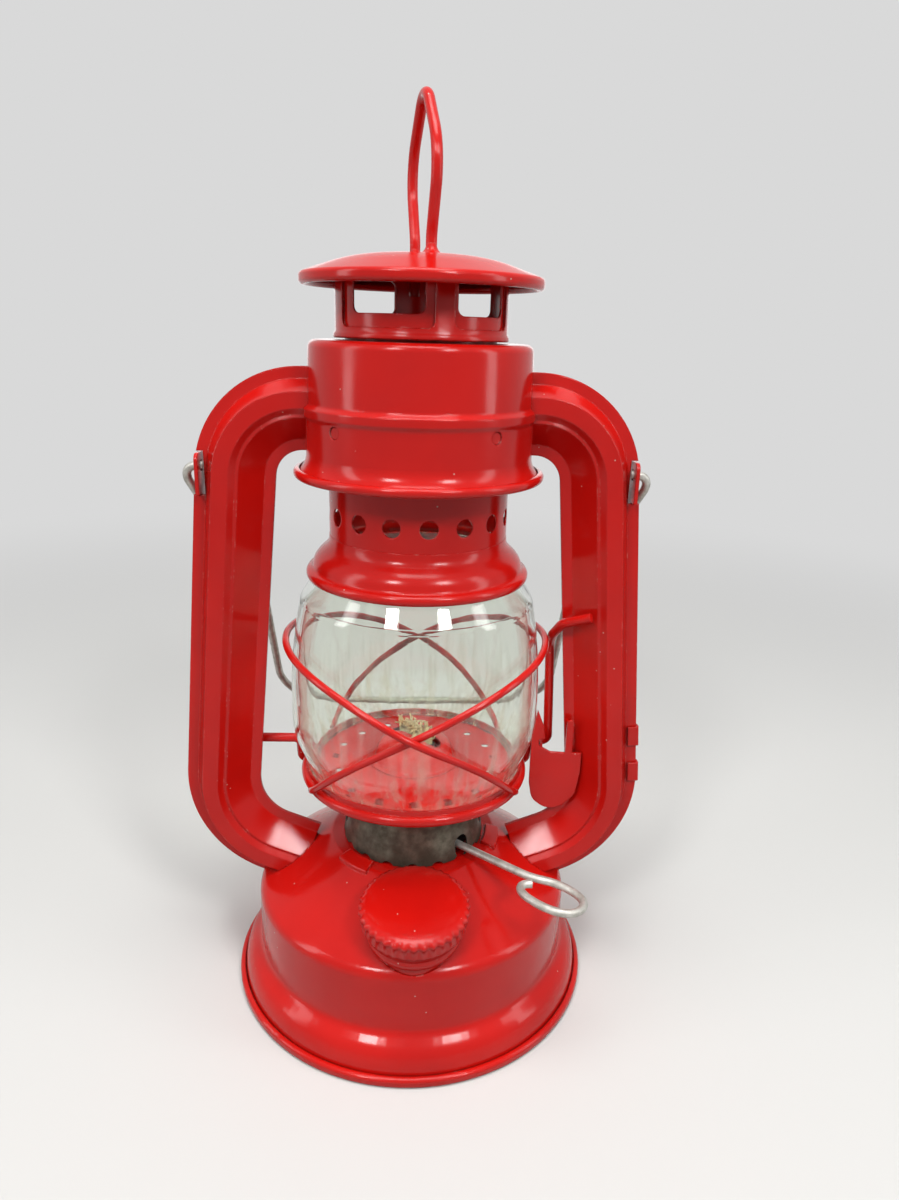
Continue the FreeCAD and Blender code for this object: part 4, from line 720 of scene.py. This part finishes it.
# %% Metals
def make_metal(name, bright, dark, mottle_mm, smooth, rough, metallic=1.0, stain=None):
    """A mottled metal between two colours and two roughnesses, with stains in its corners where asked for."""
    material, tree = new_material(name)
    place = add(tree, "ShaderNodeTexCoord").outputs["Object"]
    mottle = add(tree, "ShaderNodeTexNoise", {"Vector": place, "Scale": per_mm(mottle_mm), "Detail": 5.0,
                                              "Roughness": 0.6}).outputs["Fac"]
    share = add(tree, "ShaderNodeMapRange", {"Value": mottle, "From Min": 0.3, "From Max": 0.7}).outputs[0]
    colour = add(tree, "ShaderNodeMix", {0: share, MIX_A: linear(bright), MIX_B: linear(dark)},
                 data_type="RGBA").outputs[MIX_COLOUR]
    gloss = add(tree, "ShaderNodeMapRange", {"Value": mottle, "From Min": 0.3, "From Max": 0.7, "To Min": smooth,
                                             "To Max": rough}).outputs[0]
    metal = metallic
    if stain:
        corner = add(tree, "ShaderNodeAmbientOcclusion", {"Distance": 0.008}, samples=6).outputs["AO"]
        closed = add(tree, "ShaderNodeMapRange", {"Value": corner, "From Min": 1.0, "From Max": 0.25}).outputs[0]
        blotch = add(tree, "ShaderNodeTexNoise", {"Vector": place, "Scale": per_mm(7), "Detail": 6.0}).outputs["Fac"]
        spread = add(tree, "ShaderNodeMapRange", {"Value": blotch, "From Min": 0.38, "From Max": 0.62}).outputs[0]
        stained = add(tree, "ShaderNodeMath", {0: closed, 1: 0.45, 2: spread}, operation="MULTIPLY_ADD",
                      use_clamp=True).outputs[0]
        held = add(tree, "ShaderNodeMath", {0: stained, 1: 0.8}, operation="MULTIPLY").outputs[0]
        colour = add(tree, "ShaderNodeMix", {0: held, MIX_A: colour, MIX_B: linear(stain)},
                     data_type="RGBA").outputs[MIX_COLOUR]
        metal = add(tree, "ShaderNodeMapRange", {"Value": held, "To Min": metallic, "To Max": 0.25}).outputs[0]
        gloss = add(tree, "ShaderNodeMath", {0: held, 1: 0.18, 2: gloss}, operation="MULTIPLY_ADD").outputs[0]
    grain = add(tree, "ShaderNodeTexNoise", {"Vector": place, "Scale": per_mm(0.8), "Detail": 2.0}).outputs["Fac"]
    bump = add(tree, "ShaderNodeBump", {"Height": grain, "Strength": 0.15, "Distance": 0.0001}).outputs[0]
    surface = add(tree, "ShaderNodeBsdfPrincipled", {
        "Base Color": colour, "Metallic": metal, "Roughness": gloss, "Normal": bump})
    add(tree, "ShaderNodeOutputMaterial", {"Surface": surface.outputs[0]})
    return material


galvanised_sheet = make_metal("stained_galvanised_sheet", "#7f7a6c", "#4b463b", 4, 0.32, 0.50, 0.85, "#3a2c1f")
galvanised_wire = make_metal("dull_galvanised_wire", "#cfcdc6", "#a09d94", 2.5, 0.38, 0.55, 0.6)
spring_steel = make_metal("drawn_spring_steel", "#8f8f92", "#6a6a6e", 3, 0.25, 0.38)
spur_brass = make_metal("stamped_brass", "#c9a45a", "#9c7a3c", 2, 0.28, 0.42)
print("metals:", [m.name for m in (galvanised_sheet, galvanised_wire, spring_steel, spur_brass)])

# %% [markdown]
# ## Blown glass
# The globe is soda-lime glass, blown into a two-part mould. The wall is uneven, so what lies behind it swims a
# little, and it keeps a faint haze from handling. Where it stands in its plate, oil and dust have run down and
# dried in yellow streaks: a noise stretched upright gives the streaks, and height fades them out. Glass would
# cast a hard dark shadow in a path tracer without caustics, so a ray that looks for a lamp passes straight through.

# %% Glass
GLASS_IOR = 1.5
STREAK_TOP = 0.104
STREAK_FOOT = 0.071


def make_glass(name):
    """Clear, slightly wavy glass that lets the lamps through."""
    material, tree = new_material(name)
    place = add(tree, "ShaderNodeTexCoord").outputs["Object"]
    wave = add(tree, "ShaderNodeTexNoise", {"Vector": place, "Scale": per_mm(13), "Detail": 1.5}).outputs["Fac"]
    bump = add(tree, "ShaderNodeBump", {"Height": wave, "Strength": 0.25, "Distance": 0.0006}).outputs[0]
    smear = add(tree, "ShaderNodeTexNoise", {"Vector": place, "Scale": per_mm(9), "Detail": 5.0}).outputs["Fac"]
    haze = add(tree, "ShaderNodeMapRange", {"Value": smear, "From Min": 0.45, "From Max": 0.8, "To Min": 0.0,
                                            "To Max": 0.06}).outputs[0]
    stretched = add(tree, "ShaderNodeMapping", {"Vector": place, "Scale": (1.0, 1.0, 0.12)})
    run = add(tree, "ShaderNodeTexNoise", {"Vector": stretched.outputs[0], "Scale": per_mm(3),
                                           "Detail": 5.0}).outputs["Fac"]
    runs = add(tree, "ShaderNodeMapRange", {"Value": run, "From Min": 0.47, "From Max": 0.66}).outputs[0]
    height = add(tree, "ShaderNodeSeparateXYZ", {0: place}).outputs["Z"]
    low = add(tree, "ShaderNodeMapRange", {"Value": height, "From Min": STREAK_TOP, "From Max": STREAK_FOOT}).outputs[0]
    film = add(tree, "ShaderNodeMath", {0: runs, 1: low}, operation="MULTIPLY").outputs[0]
    held = add(tree, "ShaderNodeMath", {0: film, 1: 0.55}, operation="MULTIPLY").outputs[0]
    tint = add(tree, "ShaderNodeMix", {0: held, MIX_A: linear("#f6f9f3"), MIX_B: linear("#cdbf8e")}, data_type="RGBA")
    clear = add(tree, "ShaderNodeMath", {0: held, 1: -0.5, 2: 1.0}, operation="MULTIPLY_ADD").outputs[0]
    dull = add(tree, "ShaderNodeMath", {0: held, 1: 0.5, 2: haze}, operation="MULTIPLY_ADD").outputs[0]
    glass = add(tree, "ShaderNodeBsdfPrincipled", {
        "Base Color": tint.outputs[MIX_COLOUR], "Roughness": dull, "IOR": GLASS_IOR, "Transmission Weight": clear,
        "Normal": bump})
    through = add(tree, "ShaderNodeBsdfTransparent", {"Color": linear("#f0f4ef")})
    path = add(tree, "ShaderNodeLightPath")
    either = add(tree, "ShaderNodeMixShader", {0: path.outputs["Is Shadow Ray"], 1: glass.outputs[0],
                                               2: through.outputs[0]})
    add(tree, "ShaderNodeOutputMaterial", {"Surface": either.outputs[0]})
    return material


globe_glass = make_glass("blown_soda_lime_glass")
print("glass IOR", GLASS_IOR)

# %% [markdown]
# ## Cotton and cork
# The wick is braided cotton gone yellow with oil. The cap's gasket is pressed cork, grains of bark in a darker
# binder. Both are matt. A Voronoi pattern gives the grains their edges.

# %% Soft finishes
def make_fibre(name, light, dark, grain_mm):
    """A matt fibrous material with grains of one size."""
    material, tree = new_material(name)
    place = add(tree, "ShaderNodeTexCoord").outputs["Object"]
    grain = add(tree, "ShaderNodeTexVoronoi", {"Vector": place, "Scale": per_mm(grain_mm)})
    cloud = add(tree, "ShaderNodeTexNoise", {"Vector": place, "Scale": per_mm(grain_mm * 4), "Detail": 3.0})
    share = add(tree, "ShaderNodeMath", {0: grain.outputs["Distance"], 1: cloud.outputs["Fac"]},
                operation="MULTIPLY", use_clamp=True).outputs[0]
    colour = add(tree, "ShaderNodeMix", {0: share, MIX_A: linear(light), MIX_B: linear(dark)}, data_type="RGBA")
    bump = add(tree, "ShaderNodeBump", {"Height": grain.outputs["Distance"], "Strength": 0.5,
                                        "Distance": 0.0002}).outputs[0]
    surface = add(tree, "ShaderNodeBsdfPrincipled", {
        "Base Color": colour.outputs[MIX_COLOUR], "Roughness": 0.85, "Sheen Weight": 0.2, "Normal": bump})
    add(tree, "ShaderNodeOutputMaterial", {"Surface": surface.outputs[0]})
    return material


wick_cotton = make_fibre("oiled_cotton", "#cdb98c", "#8a7448", 0.5)
gasket_cork = make_fibre("pressed_cork", "#b48a5a", "#5f4022", 0.8)
print("soft finishes:", wick_cotton.name, gasket_cork.name)

# %% [markdown]
# ## Paint the pressings
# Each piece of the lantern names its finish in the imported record, so the right material goes to each slot by
# that name. The meshes themselves are left alone.

# %% Assign the finishes
FINISHES = {
    "red_enamel": red_enamel,
    "galvanised_sheet": galvanised_sheet,
    "galvanised_wire": galvanised_wire,
    "spring_steel": spring_steel,
    "spur_brass": spur_brass,
    "globe_glass": globe_glass,
    "wick_cotton": wick_cotton,
    "gasket_cork": gasket_cork,
}

for name, piece in sorted(frame["nodes"].items()):
    for place in piece.material_slots:
        old = place.material.name.split(".")[0]
        place.material = FINISHES[old] if old in FINISHES else red_enamel
        if old not in FINISHES:
            print("no finish for", old, "on", name)
for piece, (body, finish) in new_pieces.items():
    piece.data.materials.clear()
    piece.data.materials.append(FINISHES[finish])
print("painted", len(frame["nodes"]), "workshop pieces and", len(new_pieces), "new ones")

# %% [markdown]
# ## The floor's own finish and the daylight
# The floor is matt, pale paper, so the lantern's red stays the only colour. A pale floor throws light back up and
# would turn the deep red walls pink, so light that bounces off it meets a greyer paper, while the eye, the gloss
# and the glass see the pale one. Far from the lantern the sweep gives its own even tone to the same three, so the
# backdrop has no dark corner and no lamp is needed for it. The world adds an even light that fills the shadows, and
# where it is looked at, past the sweep's upper edge, it has the backdrop's tone.

# %% Floor finish and world
PAPER_SEEN = "#d3d2cf"
PAPER_BOUNCE = "#8b8a87"
BACKDROP_TONE = "#d9d9d9"
BACKDROP_NEAR = 0.16
BACKDROP_FAR = 0.75
WORLD_LIGHT = 0.35

floor_paper, tree = new_material("matt_paper_floor")
seen = looked_at(tree)
paper = add(tree, "ShaderNodeMix", {0: seen, MIX_A: linear(PAPER_BOUNCE), MIX_B: linear(PAPER_SEEN)},
            data_type="RGBA")
surface = add(tree, "ShaderNodeBsdfPrincipled", {"Base Color": paper.outputs[MIX_COLOUR], "Roughness": 0.9,
                                                 "Specular IOR Level": 0.1})
place = add(tree, "ShaderNodeTexCoord").outputs["Object"]
away = add(tree, "ShaderNodeVectorMath", {0: place}, operation="LENGTH").outputs["Value"]
far = add(tree, "ShaderNodeMapRange", {"Value": away, "From Min": BACKDROP_NEAR, "From Max": BACKDROP_FAR},
          interpolation_type="SMOOTHSTEP").outputs[0]
tone = add(tree, "ShaderNodeEmission", {"Color": linear(BACKDROP_TONE), "Strength": 1.0})
share = add(tree, "ShaderNodeMath", {0: far, 1: seen}, operation="MULTIPLY").outputs[0]
blended = add(tree, "ShaderNodeMixShader", {0: share, 1: surface.outputs[0], 2: tone.outputs[0]})
add(tree, "ShaderNodeOutputMaterial", {"Surface": blended.outputs[0]})
floor.data.materials.append(floor_paper)

world = bpy.data.worlds.new("daylight")
bpy.context.scene.world = world
world.use_nodes = True
world.node_tree.nodes.clear()
seen = looked_at(world.node_tree)
sky = add(world.node_tree, "ShaderNodeBackground", {"Color": linear("#eef1f4"), "Strength": WORLD_LIGHT})
above = add(world.node_tree, "ShaderNodeBackground", {"Color": linear(BACKDROP_TONE), "Strength": 1.0})
either = add(world.node_tree, "ShaderNodeMixShader", {0: seen, 1: sky.outputs[0], 2: above.outputs[0]})
add(world.node_tree, "ShaderNodeOutputWorld", {"Surface": either.outputs[0]})
print("world strength", WORLD_LIGHT)
